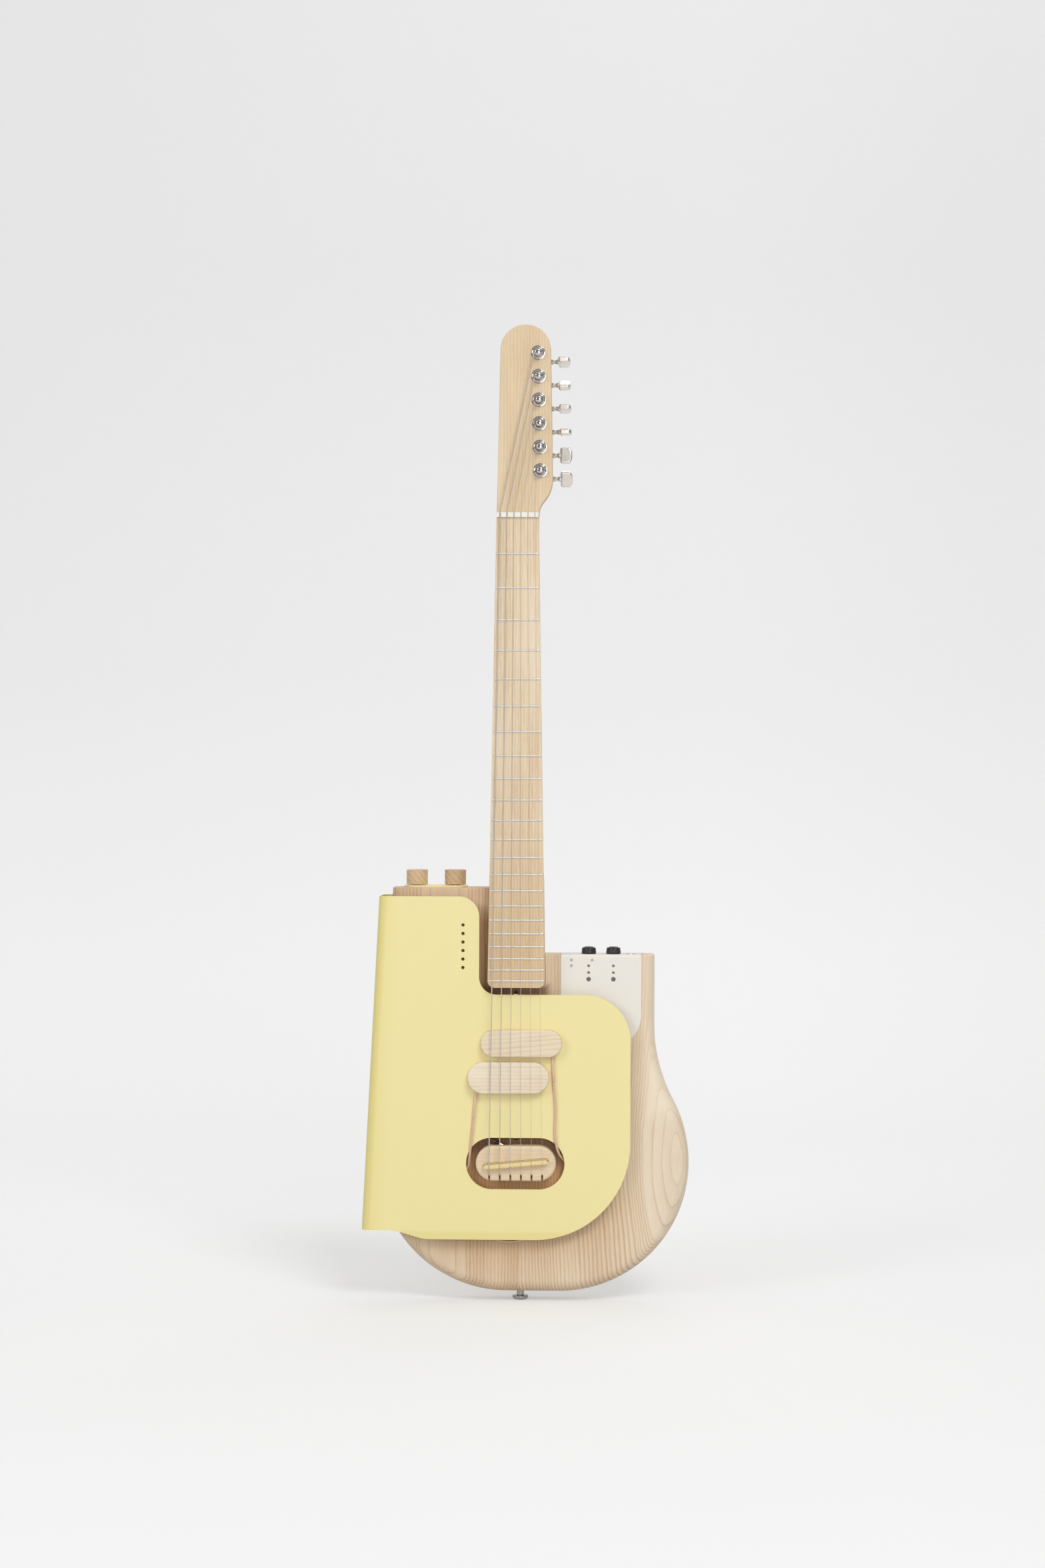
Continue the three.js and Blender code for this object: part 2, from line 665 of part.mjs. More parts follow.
const plug = {
  tipX: -16.2, tipZ: 158.4, tilt: -0.48, radius: 2.1, length: 19.5, collarRadius: 2.5, collarStart: 1.5,
  collarEnd: 5.5, roomReach: 12,
};
const plugY = woodFront - socket.height / 2;

function tailpieceBlock() {
  const blank = plate(stadium(tail.x, tail.z, tail.length, tail.height, fineChord), tailFront,
    woodFront + tail.edge + overrun, { edge: tail.edge });
  const trimmed = blank.intersect(block(tail.x - tail.length, tail.x + tail.length,
    tailFront - overrun, woodFront, tail.z - tail.height, tail.z + tail.height));
  const low = tailLow - overrun;
  const slots = stringGauges.map((_, i) => {
    const x = stringXAtSaddle(i);
    return block(x - tail.slotWidth / 2, x + tail.slotWidth / 2, tailFront - overrun,
      channelFront + overrun, low, slotTop);
  });
  const channel = block(tail.x - tail.channelLength / 2, tail.x + tail.channelLength / 2,
    channelFront, woodFront + overrun, anchorLow - seat, anchorLow + tail.channelHeight);
  const mouth = block(stringXAtSaddle(0) - overrun, stringXAtSaddle(stringGauges.length - 1) + overrun,
    channelFront, woodFront + overrun, low, anchorLow);
  const plugRoom = block(plug.tipX - plug.roomReach, socket.x + socket.width / 2 + seat,
    woodFront - socket.height - seat, woodFront + overrun, socketLow - seat,
    tail.z + tail.height / 2 + overrun);
  const planted = plantedBar(seat, tailFront - overrun, tailFront + saddle.plantDepth, 0);
  return cutBy(trimmed, [...slots, channel, mouth, plugRoom, planted]);
}

// The saddle's slanted stadium between two levels, widened by a margin
function plantedBar(margin, front, back, edge) {
  const bar = plate(stadium(0, 0, saddle.length + 2 * margin, saddle.width + 2 * margin, fineChord),
    front, back, { edge });
  const middleZ = (saddle.bassZ + saddle.trebleZ) / 2;
  return bar.rotate([0, -saddleLean * 180 / Math.PI, 0]).translate([neckX, 0, middleZ]);
}

function saddleBar() {
  const base = tailFront + saddle.plantDepth;
  const bar = plantedBar(0, saddleTop, base + saddle.edge + overrun, saddle.edge);
  const far = saddle.length;
  return bar.intersect(block(neckX - far, neckX + far, saddleTop - overrun, base, 0, nutZ));
}

piece('tailpiece_block', tailpieceBlock(), materials.paleMaple);
piece('saddle_bar', saddleBar(), materials.brass);

const anchorFront = channelFront + seat;
const anchorBack = anchorFront + anchor.depth;
piece('string_anchor_bar', block(tail.x - tail.channelLength / 2 + seat,
  tail.x + tail.channelLength / 2 - seat, anchorFront, anchorBack, anchorLow,
  anchorLow + anchor.height), materials.brass);

// Strings: ball end, anchor, saddle, nut, and turns round the tuner's post

const post = {
  shaftRadius: 3.1, waistRadius: 2.6, domeRadius: 3.6, domeTop: 9.2, domeFoot: 7.2, washerRadius: 7.4,
  washerHeight: 0.9, bushRadius: 6.3, bushTopRadius: 5.2, bushHeight: 2.3,
};
const winding = { turns: 2, steps: 8, sides: 5, clear: 0.45, startBelowDome: 0.3 };
const ball = { radius: 1.6, length: 2.4, core: 0.8 };

function windingPoints(i, from) {
  const gauge = stringGauges[i];
  const radius = (post.waistRadius + seat + gauge / 2) / Math.cos(Math.PI / winding.steps);
  const pitch = gauge + winding.clear;
  const centre = tunerPosts[i];
  const startY = neckFront - post.domeFoot + winding.startBelowDome + gauge / 2;
  const dx = centre.x - from.x;
  const dz = centre.z - from.z;
  const leaves = Math.atan2(dz, dx) + Math.PI / 2 + Math.asin(radius / Math.hypot(dx, dz));
  const points = [];
  for (let k = 0; k <= winding.turns * winding.steps; k++) {
    const angle = leaves - 2 * Math.PI * k / winding.steps;
    points.push(spot(centre.x + radius * Math.cos(angle), startY + pitch * k / winding.steps,
      centre.z + radius * Math.sin(angle)));
  }
  return points;
}

function stringPoints(i) {
  const gauge = stringGauges[i];
  const radius = gauge / 2;
  const slotX = stringXAtSaddle(i);
  const nutX = stringXAtNut(i);
  const overBar = anchorLow + anchor.height + seat + radius;
  const ballFront = anchorBack + seat + ball.core;
  const crownY = saddleTop - seat - radius;
  const nutY = stringYAtNut(i);
  const crownHalf = (saddle.width - saddle.edge) / 2;
  const intoNut = spot(nutX, nutY, nutZ);
  const outOfNut = spot(nutX, nutY, nutZ + nut.thickness);
  const slotY = tailFront - seat;
  return [
    spot(slotX, ballFront + ball.length, overBar),
    spot(slotX, ballFront, overBar),
    spot(slotX, ballFront - ball.core / 2, overBar),
    spot(slotX, anchorFront - seat - radius, overBar),
    spot(slotX, slotY, slotTop - seat - radius),
    spot(slotX, crownY, saddleZ(i) - crownHalf),
    spot(slotX, crownY, saddleZ(i) + crownHalf),
    intoNut,
    outOfNut,
    ...windingPoints(i, outOfNut),
  ];
}

// The smallest gap between turns that are at least half a turn apart along the winding
function leastWindingGap(i) {
  const points = windingPoints(i, spot(stringXAtNut(i), stringYAtNut(i), nutZ + nut.thickness));
  let least = Infinity;
  points.forEach((a, m) => points.slice(m + winding.steps / 2).forEach((b) => {
    least = Math.min(least, a.distanceTo(b) - stringGauges[i]);
  }));
  return least;
}

stringGauges.forEach((gauge, i) => {
  const points = stringPoints(i);
  const radii = points.map((_, k) => (k < 2 ? ball.radius : gauge / 2));
  piece(`string_${i + 1}`, sweptTube(points, radii, winding.sides), materials.nickel);
});
const leastGap = Math.min(...stringGauges.map((_, i) => leastWindingGap(i)));
console.log(`least gap between a string's turns: ${leastGap.toFixed(2)} mm`);

// Tuners: a housing behind the headstock, a bushing in it, a post with its wheel, and a button with
// its worm. The buttons stand at different angles, as the tuning left them.

const housing = {
  halfWidth: 8, above: 7, below: 10.6, depth: 11, corner: 2.4, sleeveRadius: 2.7, sleeveEnd: 15.2,
};
const worm = { offset: 6.5, radius: 1.7, leftEnd: 5, wheelRadius: 4.4, wheelHalf: 1.7, depth: 6 };
const button = {
  stemStart: 15.6, stemRadius: 2.1, stemFlare: 3, bladeStart: 20.2, bladeLength: 12.4, width: 16.4,
  thickness: 6, edge: 1.1, innerWidth: 13.8, bow: 2.6,
};
const buttonTurns = [72, -63, 79, 90, -8, 28];
const wormY = headBack + worm.depth;

function tunerBushing(place) {
  const face = neckFront;
  const bore = post.shaftRadius + seat;
  return turned([
    [bore, face - post.bushHeight], [post.bushTopRadius, face - post.bushHeight],
    [post.bushRadius, face - post.washerHeight], [post.washerRadius, face - post.washerHeight],
    [post.washerRadius, face], [tuner.headHole - seat, face], [tuner.headHole - seat, headBack],
    [bore, headBack], [bore, face - post.bushHeight],
  ], 'y', spot(place.x, 0, place.z), 12);
}

function tunerHousing(place) {
  const outline = rounded([
    [place.x - housing.halfWidth, place.z - housing.below, housing.corner],
    [place.x + housing.halfWidth, place.z - housing.below, housing.corner],
    [place.x + housing.halfWidth, place.z + housing.above, housing.corner],
    [place.x - housing.halfWidth, place.z + housing.above, housing.corner],
  ], chord * 2);
  const axisZ = place.z - worm.offset;
  const sleeve = rod(spot(place.x, wormY, axisZ), spot(place.x + housing.sleeveEnd, wormY, axisZ),
    housing.sleeveRadius, 8);
  const wormBore = rod(spot(place.x - worm.leftEnd - seat, wormY, axisZ),
    spot(place.x + housing.sleeveEnd + overrun, wormY, axisZ), worm.radius + seat, 8);
  const wheelRoom = rodAlongY(place.x, place.z, worm.wheelRadius + seat,
    wormY - worm.wheelHalf - seat, wormY + worm.wheelHalf + seat, 10);
  const postHole = rodAlongY(place.x, place.z, post.shaftRadius + seat, headBack - overrun, wormY, 10);
  const can = plate(outline, headBack, headBack + housing.depth);
  return cutBy(can.add(sleeve), [wormBore, wheelRoom, postHole]);
}

function tunerPost(place) {
  const face = neckFront;
  const foot = face - post.domeFoot;
  const top = face - post.domeTop;
  const wheelFront = wormY - worm.wheelHalf;
  const wheelBack = wormY + worm.wheelHalf;
  return turned([
    [0, top], [post.domeRadius * 0.6, top + (foot - top) * 0.16],
    [post.domeRadius, foot - (foot - top) * 0.3], [post.domeRadius, foot],
    [post.waistRadius, foot], [post.waistRadius, face - post.bushHeight],
    [post.shaftRadius, face - post.bushHeight], [post.shaftRadius, wheelFront],
    [worm.wheelRadius, wheelFront], [worm.wheelRadius, wheelBack], [0, wheelBack],
  ], 'y', spot(place.x, 0, place.z), 10);
}

function tunerButton(place, turn) {
  const axisZ = place.z - worm.offset;
  const inner = button.innerWidth / 2;
  const outer = button.width / 2;
  const end = button.bladeStart + button.bladeLength;
  const blade = plate([
    at(button.bladeStart, -inner),
    at(button.bladeStart + (outer - inner), -outer),
    at(end - button.bow, -outer),
    at(end - button.bow / 4, -outer + button.bow),
    at(end, 0),
    at(end - button.bow / 4, outer - button.bow),
    at(end - button.bow, outer),
    at(button.bladeStart + (outer - inner), outer),
    at(button.bladeStart, inner),
  ], -button.thickness / 2, button.thickness / 2, { edge: button.edge, edgeSteps: 1 });
  const stem = turned([
    [0, -worm.leftEnd], [worm.radius, -worm.leftEnd], [worm.radius, button.stemStart],
    [button.stemRadius, button.stemStart], [button.stemFlare, button.bladeStart - joinDepth],
    [button.stemFlare, button.bladeStart + joinDepth], [0, button.bladeStart + joinDepth],
  ], 'x', spot(0, 0, 0), 10);
  return stem.add(blade).rotate([turn, 0, 0]).translate([place.x, wormY, axisZ]);
}

tunerPosts.forEach((place, i) => {
  piece(`tuner_${i + 1}_housing`, tunerHousing(place), materials.chrome);
  piece(`tuner_${i + 1}_bushing`, tunerBushing(place), materials.chrome);
  piece(`tuner_${i + 1}_post`, tunerPost(place), materials.chrome);
  piece(`tuner_${i + 1}_button`, tunerButton(place, buttonTurns[i]), materials.nickel);
});

// Pickups: a hollow wood cover over a magnetic base, which holds the cable's boot

const pickup = {
  length: 82.1, rise: 8.7, edge: 1.6, wall: 3, roof: 2.4, baseThickness: 1.6, coilWidth: 11,
  coilLength: 62, bootRadius: 1.5, bootLength: 24.5,
};
const neckPickup = { x: 1.5, z: 263.6, height: 27.4, bootX: 33, bootLean: 0.05 };
const bridgePickup = { x: -11.5, z: 228.9, height: 31.9, bootX: -44.4, bootLean: -0.09 };
const pickups = [
  { name: 'neck_pickup', ...neckPickup },
  { name: 'bridge_pickup', ...bridgePickup },
];
const pickupBack = sheetFront - seat;
const pickupFront = pickupBack - pickup.rise;
const bootY = pickupBack - pickup.bootRadius - seat;

const bootEnd = (unit) => {
  const startZ = unit.z - unit.height / 2;
  return spot(unit.bootX + pickup.bootLength * unit.bootLean, bootY, startZ - pickup.bootLength);
};

function pickupPieces(unit) {
  const outline = (inset) => stadium(unit.x, unit.z, pickup.length - 2 * inset, unit.height - 2 * inset);
  const lowZ = unit.z - unit.height / 2;
  const blank = plate(outline(0), pickupFront, pickupBack + pickup.edge + overrun,
    { edge: pickup.edge, edgeSteps: 2 });
  const reach = pickup.length;
  const trimmed = blank.intersect(block(unit.x - reach, unit.x + reach, pickupFront - overrun,
    pickupBack, lowZ - reach, lowZ + reach));
  const hollow = plate(outline(pickup.wall), pickupFront + pickup.roof, pickupBack + overrun);
  const bootStart = spot(unit.bootX - pickup.wall * unit.bootLean * 2, bootY, lowZ + pickup.wall * 2);
  const end = bootEnd(unit);
  const notch = rod(bootStart, end, pickup.bootRadius + seat, 10);
  const notchMouth = block(unit.bootX - pickup.bootRadius - seat * 2, unit.bootX + pickup.bootRadius + seat * 2,
    bootY, pickupBack + overrun, lowZ - overrun, lowZ + pickup.wall * 2);
  piece(`${unit.name}_cover`, cutBy(trimmed, [hollow, notch, notchMouth]), materials.paleMaple);

  const base = plate(outline(pickup.wall + seat), pickupBack - pickup.baseThickness, pickupBack);
  const coil = block(unit.x - pickup.coilLength / 2, unit.x + pickup.coilLength / 2,
    pickupFront + pickup.roof + seat, pickupBack - joinDepth, unit.z - pickup.coilWidth / 2,
    unit.z + pickup.coilWidth / 2);
  const boot = rod(bootStart, end, pickup.bootRadius, 10);
  piece(`${unit.name}_base`, joined([base, coil, boot]), materials.black);
}

pickups.forEach(pickupPieces);

// Pickup plug and its socket, tucked under the tailpiece's top edge

const plugAxis = new THREE.Vector3(Math.cos(plug.tilt), 0, Math.sin(plug.tilt));
const plugTip = spot(plug.tipX, plugY, plug.tipZ);
const alongPlug = (distance) => plugTip.clone().addScaledVector(plugAxis, -distance);

piece('pickup_plug', joined([
  rod(plugTip, alongPlug(plug.length), plug.radius, 12),
  rod(alongPlug(plug.collarStart), alongPlug(plug.collarEnd), plug.collarRadius, 12),
]), materials.black);

const socketBlock = block(socket.x - socket.width / 2, socket.x + socket.width / 2,
  woodFront - socket.height, woodFront, socketLow, socketHigh);
piece('pickup_socket', socketBlock, materials.black);

// Cables: from each boot over the shell, through the cutout and, under the shell, to the plug.
// The neck pickup's slack hangs in a loop that just shows below the shell.

const cableRadius = 1.2;
const cableFacets = 8;
const cableSegment = 6.6;
const cableY = bootY;
const cableRoutes = {
  neck_pickup_cable: [
    [34.9, cableY, 214], [35.6, cableY, 204], [35.9, cableY, 190], [35.4, cableY, 176],
    [36, cableY, 167], [37.2, -33.4, 160], [38.6, -32, 155], [40.4, -29.6, 150.5],
    [44.6, -26.4, 145], [51, -24.6, 134], [54, -24, 116], [44, -23.6, 92], [22, -23.4, 72],
    [4, -23.4, 64.2], [-11.5, -23.4, 62], [-26, -23.4, 65], [-50, -23.4, 78], [-74, -23.4, 103],
    [-80, -23.4, 132], [-76, -23.4, 156], [-64.5, -23.4, 171.6], [-51, -23.4, 176],
  ],
  bridge_pickup_cable: [
    [-47.4, cableY, 180], [-48.2, cableY, 172], [-48.9, cableY, 165], [-49.6, -34.3, 158],
    [-50.2, -33, 152.4], [-51.1, -29.6, 145.4], [-52.4, -26.8, 138.6], [-56.4, -26, 132.6],
    [-62.5, -26, 133.6], [-65.6, -26, 141.6], [-64.4, -26, 152], [-59, -25.4, 162],
    [-50, -24.2, 169.4],
  ],
};

function cableTube(points) {
  const path = new THREE.CatmullRomCurve3(points, false, 'centripetal');
  const section = new THREE.Shape(circle(0, 0, cableRadius, cableFacets));
  const steps = Math.round(path.getLength() / cableSegment);
  const geometry = new THREE.ExtrudeGeometry(section, { extrudePath: path, steps, bevelEnabled: false });
  return solidFrom(geometry);
}

pickups.forEach((unit, i) => {
  const end = bootEnd(unit);
  const away = new THREE.Vector3(unit.bootLean, 0, -1).normalize();
  const start = end.clone().addScaledVector(away, seat);
  const next = end.clone().addScaledVector(away, cableSegment);
  const side = new THREE.Vector3(-plugAxis.z, 0, plugAxis.x).multiplyScalar((i === 0 ? 1 : -1) * (cableRadius + seat));
  const finish = alongPlug(plug.length + seat).add(side);
  const lead = alongPlug(plug.length + cableSegment).add(side);
  const route = cableRoutes[`${unit.name}_cable`].map(([x, y, z]) => spot(x, y, z));
  const tube = cableTube([start, next, ...route, lead, finish]);
  piece(`${unit.name}_cable`, tube, materials.cable);
});

// Volume and tone: wood knobs on a plate, with their pots hanging under it

const woodKnob = { radius: 10.8, height: 15, gap: 0.7, edge: 0.9, hollowRadius: 6, hollowDepth: 3.4 };
const pot = {
  bracketLength: 57, bracketWidth: 17, bracketThickness: 1.5, canRadius: 8.2, canHeight: 8.5,
  bushRadius: 4.2, bushRise: 2, shaftRadius: 3, shaftDepth: 5,
};
const knobPlateTop = leftTopZ + knobPlate.thickness;
const knobXs = [knobRow.leftX, knobRow.leftX + knobRow.spacing];

function upright(outline, low, high, holes = []) {
  const shape = new THREE.Shape(outline);
  holes.forEach((hole) => shape.holes.push(new THREE.Path(hole)));
  const geometry = new THREE.ExtrudeGeometry(shape, { depth: high - low, bevelEnabled: false });
  geometry.translate(0, 0, low);
  return solidFrom(geometry);
}

piece('knob_plate', upright(
  stadium(knobRowX, knobRow.y, knobPlate.length, knobPlate.width), leftTopZ, knobPlateTop,
  knobXs.map((x) => circle(x, knobRow.y, pot.bushRadius + seat, 12)),
), materials.yellow);

function woodKnobPiece(x) {
  const low = knobPlateTop + woodKnob.gap;
  const high = low + woodKnob.height;
  const shaftEnd = leftTopZ - pot.bracketThickness - pot.shaftDepth;
  return turned([
    [0, high], [woodKnob.radius - woodKnob.edge, high], [woodKnob.radius, high - woodKnob.edge],
    [woodKnob.radius, low + woodKnob.edge / 2], [woodKnob.radius - woodKnob.edge / 2, low],
    [woodKnob.hollowRadius, low], [woodKnob.hollowRadius, low + woodKnob.hollowDepth],
    [pot.shaftRadius, low + woodKnob.hollowDepth], [pot.shaftRadius, shaftEnd], [0, shaftEnd],
  ], 'z', spot(x, knobRow.y, 0), 18);
}

piece('volume_knob', woodKnobPiece(knobXs[0]), materials.paleMaple);
piece('tone_knob', woodKnobPiece(knobXs[1]), materials.paleMaple);

function controlPots() {
  const top = leftTopZ;
  const low = top - pot.bracketThickness;
  const bracket = block(knobRowX - pot.bracketLength / 2, knobRowX + pot.bracketLength / 2,
    knobRow.y - pot.bracketWidth / 2, knobRow.y + pot.bracketWidth / 2, low, top);
  const cans = knobXs.map((x) =>
    rodAlongZ(x, knobRow.y, pot.canRadius, low - pot.canHeight, low + joinDepth, 14));
  const bushes = knobXs.map((x) =>
    rodAlongZ(x, knobRow.y, pot.bushRadius, top - joinDepth, knobPlateTop + pot.bushRise, 12));
  const bores = knobXs.map((x) => rodAlongZ(x, knobRow.y, pot.shaftRadius + seat,
    low - pot.shaftDepth - seat, knobPlateTop + pot.bushRise + overrun, 12));
  return cutBy(joined([bracket, ...cans, ...bushes]), bores);
}

piece('control_pots', controlPots(), materials.steel);

// Control panel: a folded white sheet over the electronics, with knobs, buttons and a jack

const panelKnob = {
  leftX: 68.9, spacing: 25, y: -3, radius: 7.4, topRadius: 7, gap: 0.4, height: 6.1, edge: 1.5,
  capRadius: 4.2, capHeight: 0.7, shaftRadius: 2.2, shaftDepth: 8,
};
const lightPipe = { radius: 1.2, topDrop: 5.4, drop: 11.2, lowDrop: 18, nearInset: 10.6, farInset: 31.6 };
const pushButton = {
  drop: 24.7, radius: 2, proud: 0.4, flangeRadius: 3.1, flangeThickness: 0.8, travel: 0.6,
};
const jack = { x: 111.5, radius: 4.4, ringRadius: 5.3, ringHeight: 0.6, bore: 3.25, depth: 15, bodyHalf: 6 };
const knobsOnPanel = [panelKnob.leftX, panelKnob.leftX + panelKnob.spacing];
const indicatorXs = knobsOnPanel;
const pushButtonZ = panelTop - pushButton.drop;
const pipePlaces = [
  at(panel.leftX + lightPipe.nearInset, panelTop - lightPipe.topDrop),
  at(panel.leftX + lightPipe.nearInset, panelTop - lightPipe.drop),
  at(panel.leftX + lightPipe.farInset, panelTop - lightPipe.topDrop),
  ...indicatorXs.flatMap((x) =>
    [at(x, panelTop - lightPipe.drop), at(x, panelTop - lightPipe.lowDrop)]),
];

function controlPanel() {
  const outer = panel.bend;
  const inner = panel.bend - panel.thickness;
  const centre = at(woodFront + inner, panelTop - panel.thickness - inner);
  const profile = [
    at(panelFront, panel.lowZ),
    ...arc(centre, outer, Math.PI, Math.PI / 2, fineChord),
    at(panelBackEdge, panelTop),
    at(panelBackEdge, panelTop - panel.thickness),
    ...arc(centre, inner, Math.PI / 2, Math.PI, fineChord),
    at(woodFront, panel.lowZ),
  ];
  const geometry = new THREE.ExtrudeGeometry(new THREE.Shape(profile), {
    depth: panel.rightX - panel.leftX, bevelEnabled: false,
  });
  const basis = new THREE.Matrix4().makeBasis(spot(0, 1, 0), spot(0, 0, 1), spot(1, 0, 0));
  geometry.applyMatrix4(basis);
  geometry.translate(panel.leftX, 0, 0);
  const mask = plate(rounded([
    [panel.leftX - overrun, panelTop + overrun, 0],
    [panel.leftX - overrun, panel.lowZ + panel.corner + overrun, 0],
    [panel.leftX, panel.lowZ + panel.corner, 0],
    [panel.leftX, panel.lowZ, panel.corner - seat],
    [panel.rightX, panel.lowZ, panel.corner - seat],
    [panel.rightX, panel.lowZ + panel.corner, 0],
    [panel.rightX + overrun, panel.lowZ + panel.corner + overrun, 0],
    [panel.rightX + overrun, panelTop + overrun, 0],
  ]), panelFront - overrun, panelBackEdge + overrun);
  const front = panelFront - overrun;
  const behind = woodFront + overrun;
  const frontHoles = [
    ...pipePlaces.map((place) => rodAlongY(place.x, place.y, lightPipe.radius + seat, front, behind, 10)),
    ...indicatorXs.map((x) => rodAlongY(x, pushButtonZ, pushButton.radius + seat, front, behind, 12)),
  ];
  const low = panelTop - panel.thickness - overrun;
  const topHoles = [
    ...knobsOnPanel.map((x) => rodAlongZ(x, panelKnob.y, panelKnob.shaftRadius + seat * 2, low,
      panelTop + overrun, 12)),
    rodAlongZ(jack.x, panelKnob.y, jack.radius + seat, low, panelTop + overrun, 12),
  ];
  return cutBy(solidFrom(geometry).intersect(mask), [...frontHoles, ...topHoles]);
}

piece('control_panel', controlPanel(), materials.white);

function panelKnobPiece(x) {
  const low = panelTop + panelKnob.gap;
  const high = low + panelKnob.height;
  const shaftEnd = panelTop - panel.thickness - panelKnob.shaftDepth;
  return turned([
    [0, high + panelKnob.capHeight], [panelKnob.capRadius, high + panelKnob.capHeight],
    [panelKnob.capRadius * 1.15, high], [panelKnob.topRadius - panelKnob.edge, high],
    [panelKnob.topRadius, high - panelKnob.edge], [panelKnob.radius, low],
    [panelKnob.shaftRadius, low], [panelKnob.shaftRadius, shaftEnd], [0, shaftEnd],
  ], 'z', spot(x, panelKnob.y, 0), 16);
}

piece('left_panel_knob', panelKnobPiece(knobsOnPanel[0]), materials.black);
piece('right_panel_knob', panelKnobPiece(knobsOnPanel[1]), materials.black);

function pushButtonPiece(x) {
  const face = panelFront - pushButton.proud;
  const flangeFront = woodFront + seat;
  const flangeBack = flangeFront + pushButton.flangeThickness;
  return turned([
    [0, face], [pushButton.radius, face], [pushButton.radius, flangeFront],
    [pushButton.flangeRadius, flangeFront], [pushButton.flangeRadius, flangeBack], [0, flangeBack],
  ], 'y', spot(x, 0, pushButtonZ), 14);
}

piece('left_push_button', pushButtonPiece(indicatorXs[0]), materials.grey);
piece('right_push_button', pushButtonPiece(indicatorXs[1]), materials.grey);

function outputJack() {
  const under = panelTop - panel.thickness - seat;
  const ringTop = panelTop + jack.ringHeight;
  const ring = rodAlongZ(jack.x, panelKnob.y, jack.ringRadius, panelTop, ringTop, 20);
  const neckRod = rodAlongZ(jack.x, panelKnob.y, jack.radius, under - joinDepth,
    panelTop + joinDepth, 12);
  const body = block(jack.x - jack.bodyHalf, jack.x + jack.bodyHalf, panelKnob.y - jack.bodyHalf,
    panelKnob.y + jack.bodyHalf, panelTop - jack.depth, under);
  const bore = rodAlongZ(jack.x, panelKnob.y, jack.bore, panelTop - jack.depth + panel.thickness,
    ringTop + overrun, 12);
  return joined([ring, neckRod, body]).subtract(bore);
}

piece('output_jack', outputJack(), materials.steel);

// Circuit board behind the panel, with light pipes, switches, pots and the battery soldered to it

const pcb = { front: 6.8, thickness: 1.6, margin: 1.5, height: 61.1, topGap: 2.2, reach: 58 };
const switchBody = { half: 3, gap: 0.5 };
const panelPot = { halfWidth: 6, depth: 11, height: 9 };
const battery = { inset: 4, length: 44, height: 28, thickness: 9, rise: 4 };

function circuitBoard() {
  const front = woodFront + pcb.front;
  const back = front + pcb.thickness;
  const left = panel.leftX + electronics.rim + pcb.margin;
  const under = panelTop - panel.thickness;
  const high = under - pcb.topGap;
  const sheet = block(left, left + pcb.reach, front, back, high - pcb.height, high);
  const pipes = pipePlaces.map((place) => rodAlongY(place.x, place.y, lightPipe.radius,
    panelFront + seat, front + joinDepth, 8));
  const switchFront = woodFront + seat + pushButton.flangeThickness + pushButton.travel + switchBody.gap;
  const switches = indicatorXs.map((x) => block(x - switchBody.half, x + switchBody.half, switchFront,
    front + joinDepth, pushButtonZ - switchBody.half, pushButtonZ + switchBody.half));
  const pots = knobsOnPanel.map((x) => block(x - panelPot.halfWidth, x + panelPot.halfWidth,
    back - joinDepth, back + panelPot.depth, under - seat - panelPot.height, under - seat));
  const bores = knobsOnPanel.map((x) => rodAlongZ(x, panelKnob.y, panelKnob.shaftRadius + seat,
    under - panelKnob.shaftDepth - seat, under + overrun, 10));
  const cellLow = high - pcb.height + battery.rise;
  const cell = block(left + battery.inset, left + battery.inset + battery.length, back - joinDepth,
    back + battery.thickness, cellLow, cellLow + battery.height);
  return cutBy(joined([sheet, ...pipes, ...switches, ...pots, cell]), bores);
}

piece('circuit_board', circuitBoard(), materials.board);

export default part;
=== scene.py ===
# A travel guitar: a two-board wood body inside a folded sheet, with a bolted neck, two sliding
# pickups, a wood tailpiece, rear-mounted tuners and a small control panel.
#
# Lengths are millimetres until a mesh is made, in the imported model's frame: +Z runs up the neck,
# +X is to the right seen from the front, and the front faces -Y.

import math
from types import SimpleNamespace as Sizes

import bmesh
import bpy
from mathutils import Matrix, Vector
from mathutils.geometry import tessellate_polygon


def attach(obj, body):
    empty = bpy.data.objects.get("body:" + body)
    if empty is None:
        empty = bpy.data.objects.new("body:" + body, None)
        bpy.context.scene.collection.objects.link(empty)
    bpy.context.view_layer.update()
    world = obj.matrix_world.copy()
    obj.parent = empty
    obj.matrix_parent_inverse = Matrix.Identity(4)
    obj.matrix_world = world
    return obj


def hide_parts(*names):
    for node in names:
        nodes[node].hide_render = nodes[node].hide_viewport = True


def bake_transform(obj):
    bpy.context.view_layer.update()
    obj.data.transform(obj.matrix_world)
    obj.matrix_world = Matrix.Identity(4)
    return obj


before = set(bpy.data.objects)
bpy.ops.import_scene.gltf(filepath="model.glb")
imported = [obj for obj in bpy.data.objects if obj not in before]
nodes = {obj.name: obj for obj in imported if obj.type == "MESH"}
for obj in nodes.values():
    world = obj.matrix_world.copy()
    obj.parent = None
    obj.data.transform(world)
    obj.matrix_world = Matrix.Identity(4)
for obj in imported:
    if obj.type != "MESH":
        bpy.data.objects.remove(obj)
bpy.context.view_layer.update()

MM = 0.001
CHORD = 0.02
FINE_CHORD = 0.01
SAME_POINT = 1e-4
POLE = 1e-6
SHARP = math.radians(34)
SOFTENED = math.radians(60)
HALF_TURN = math.pi
QUARTER = math.pi / 2

# Driving dimensions, as the solids have them

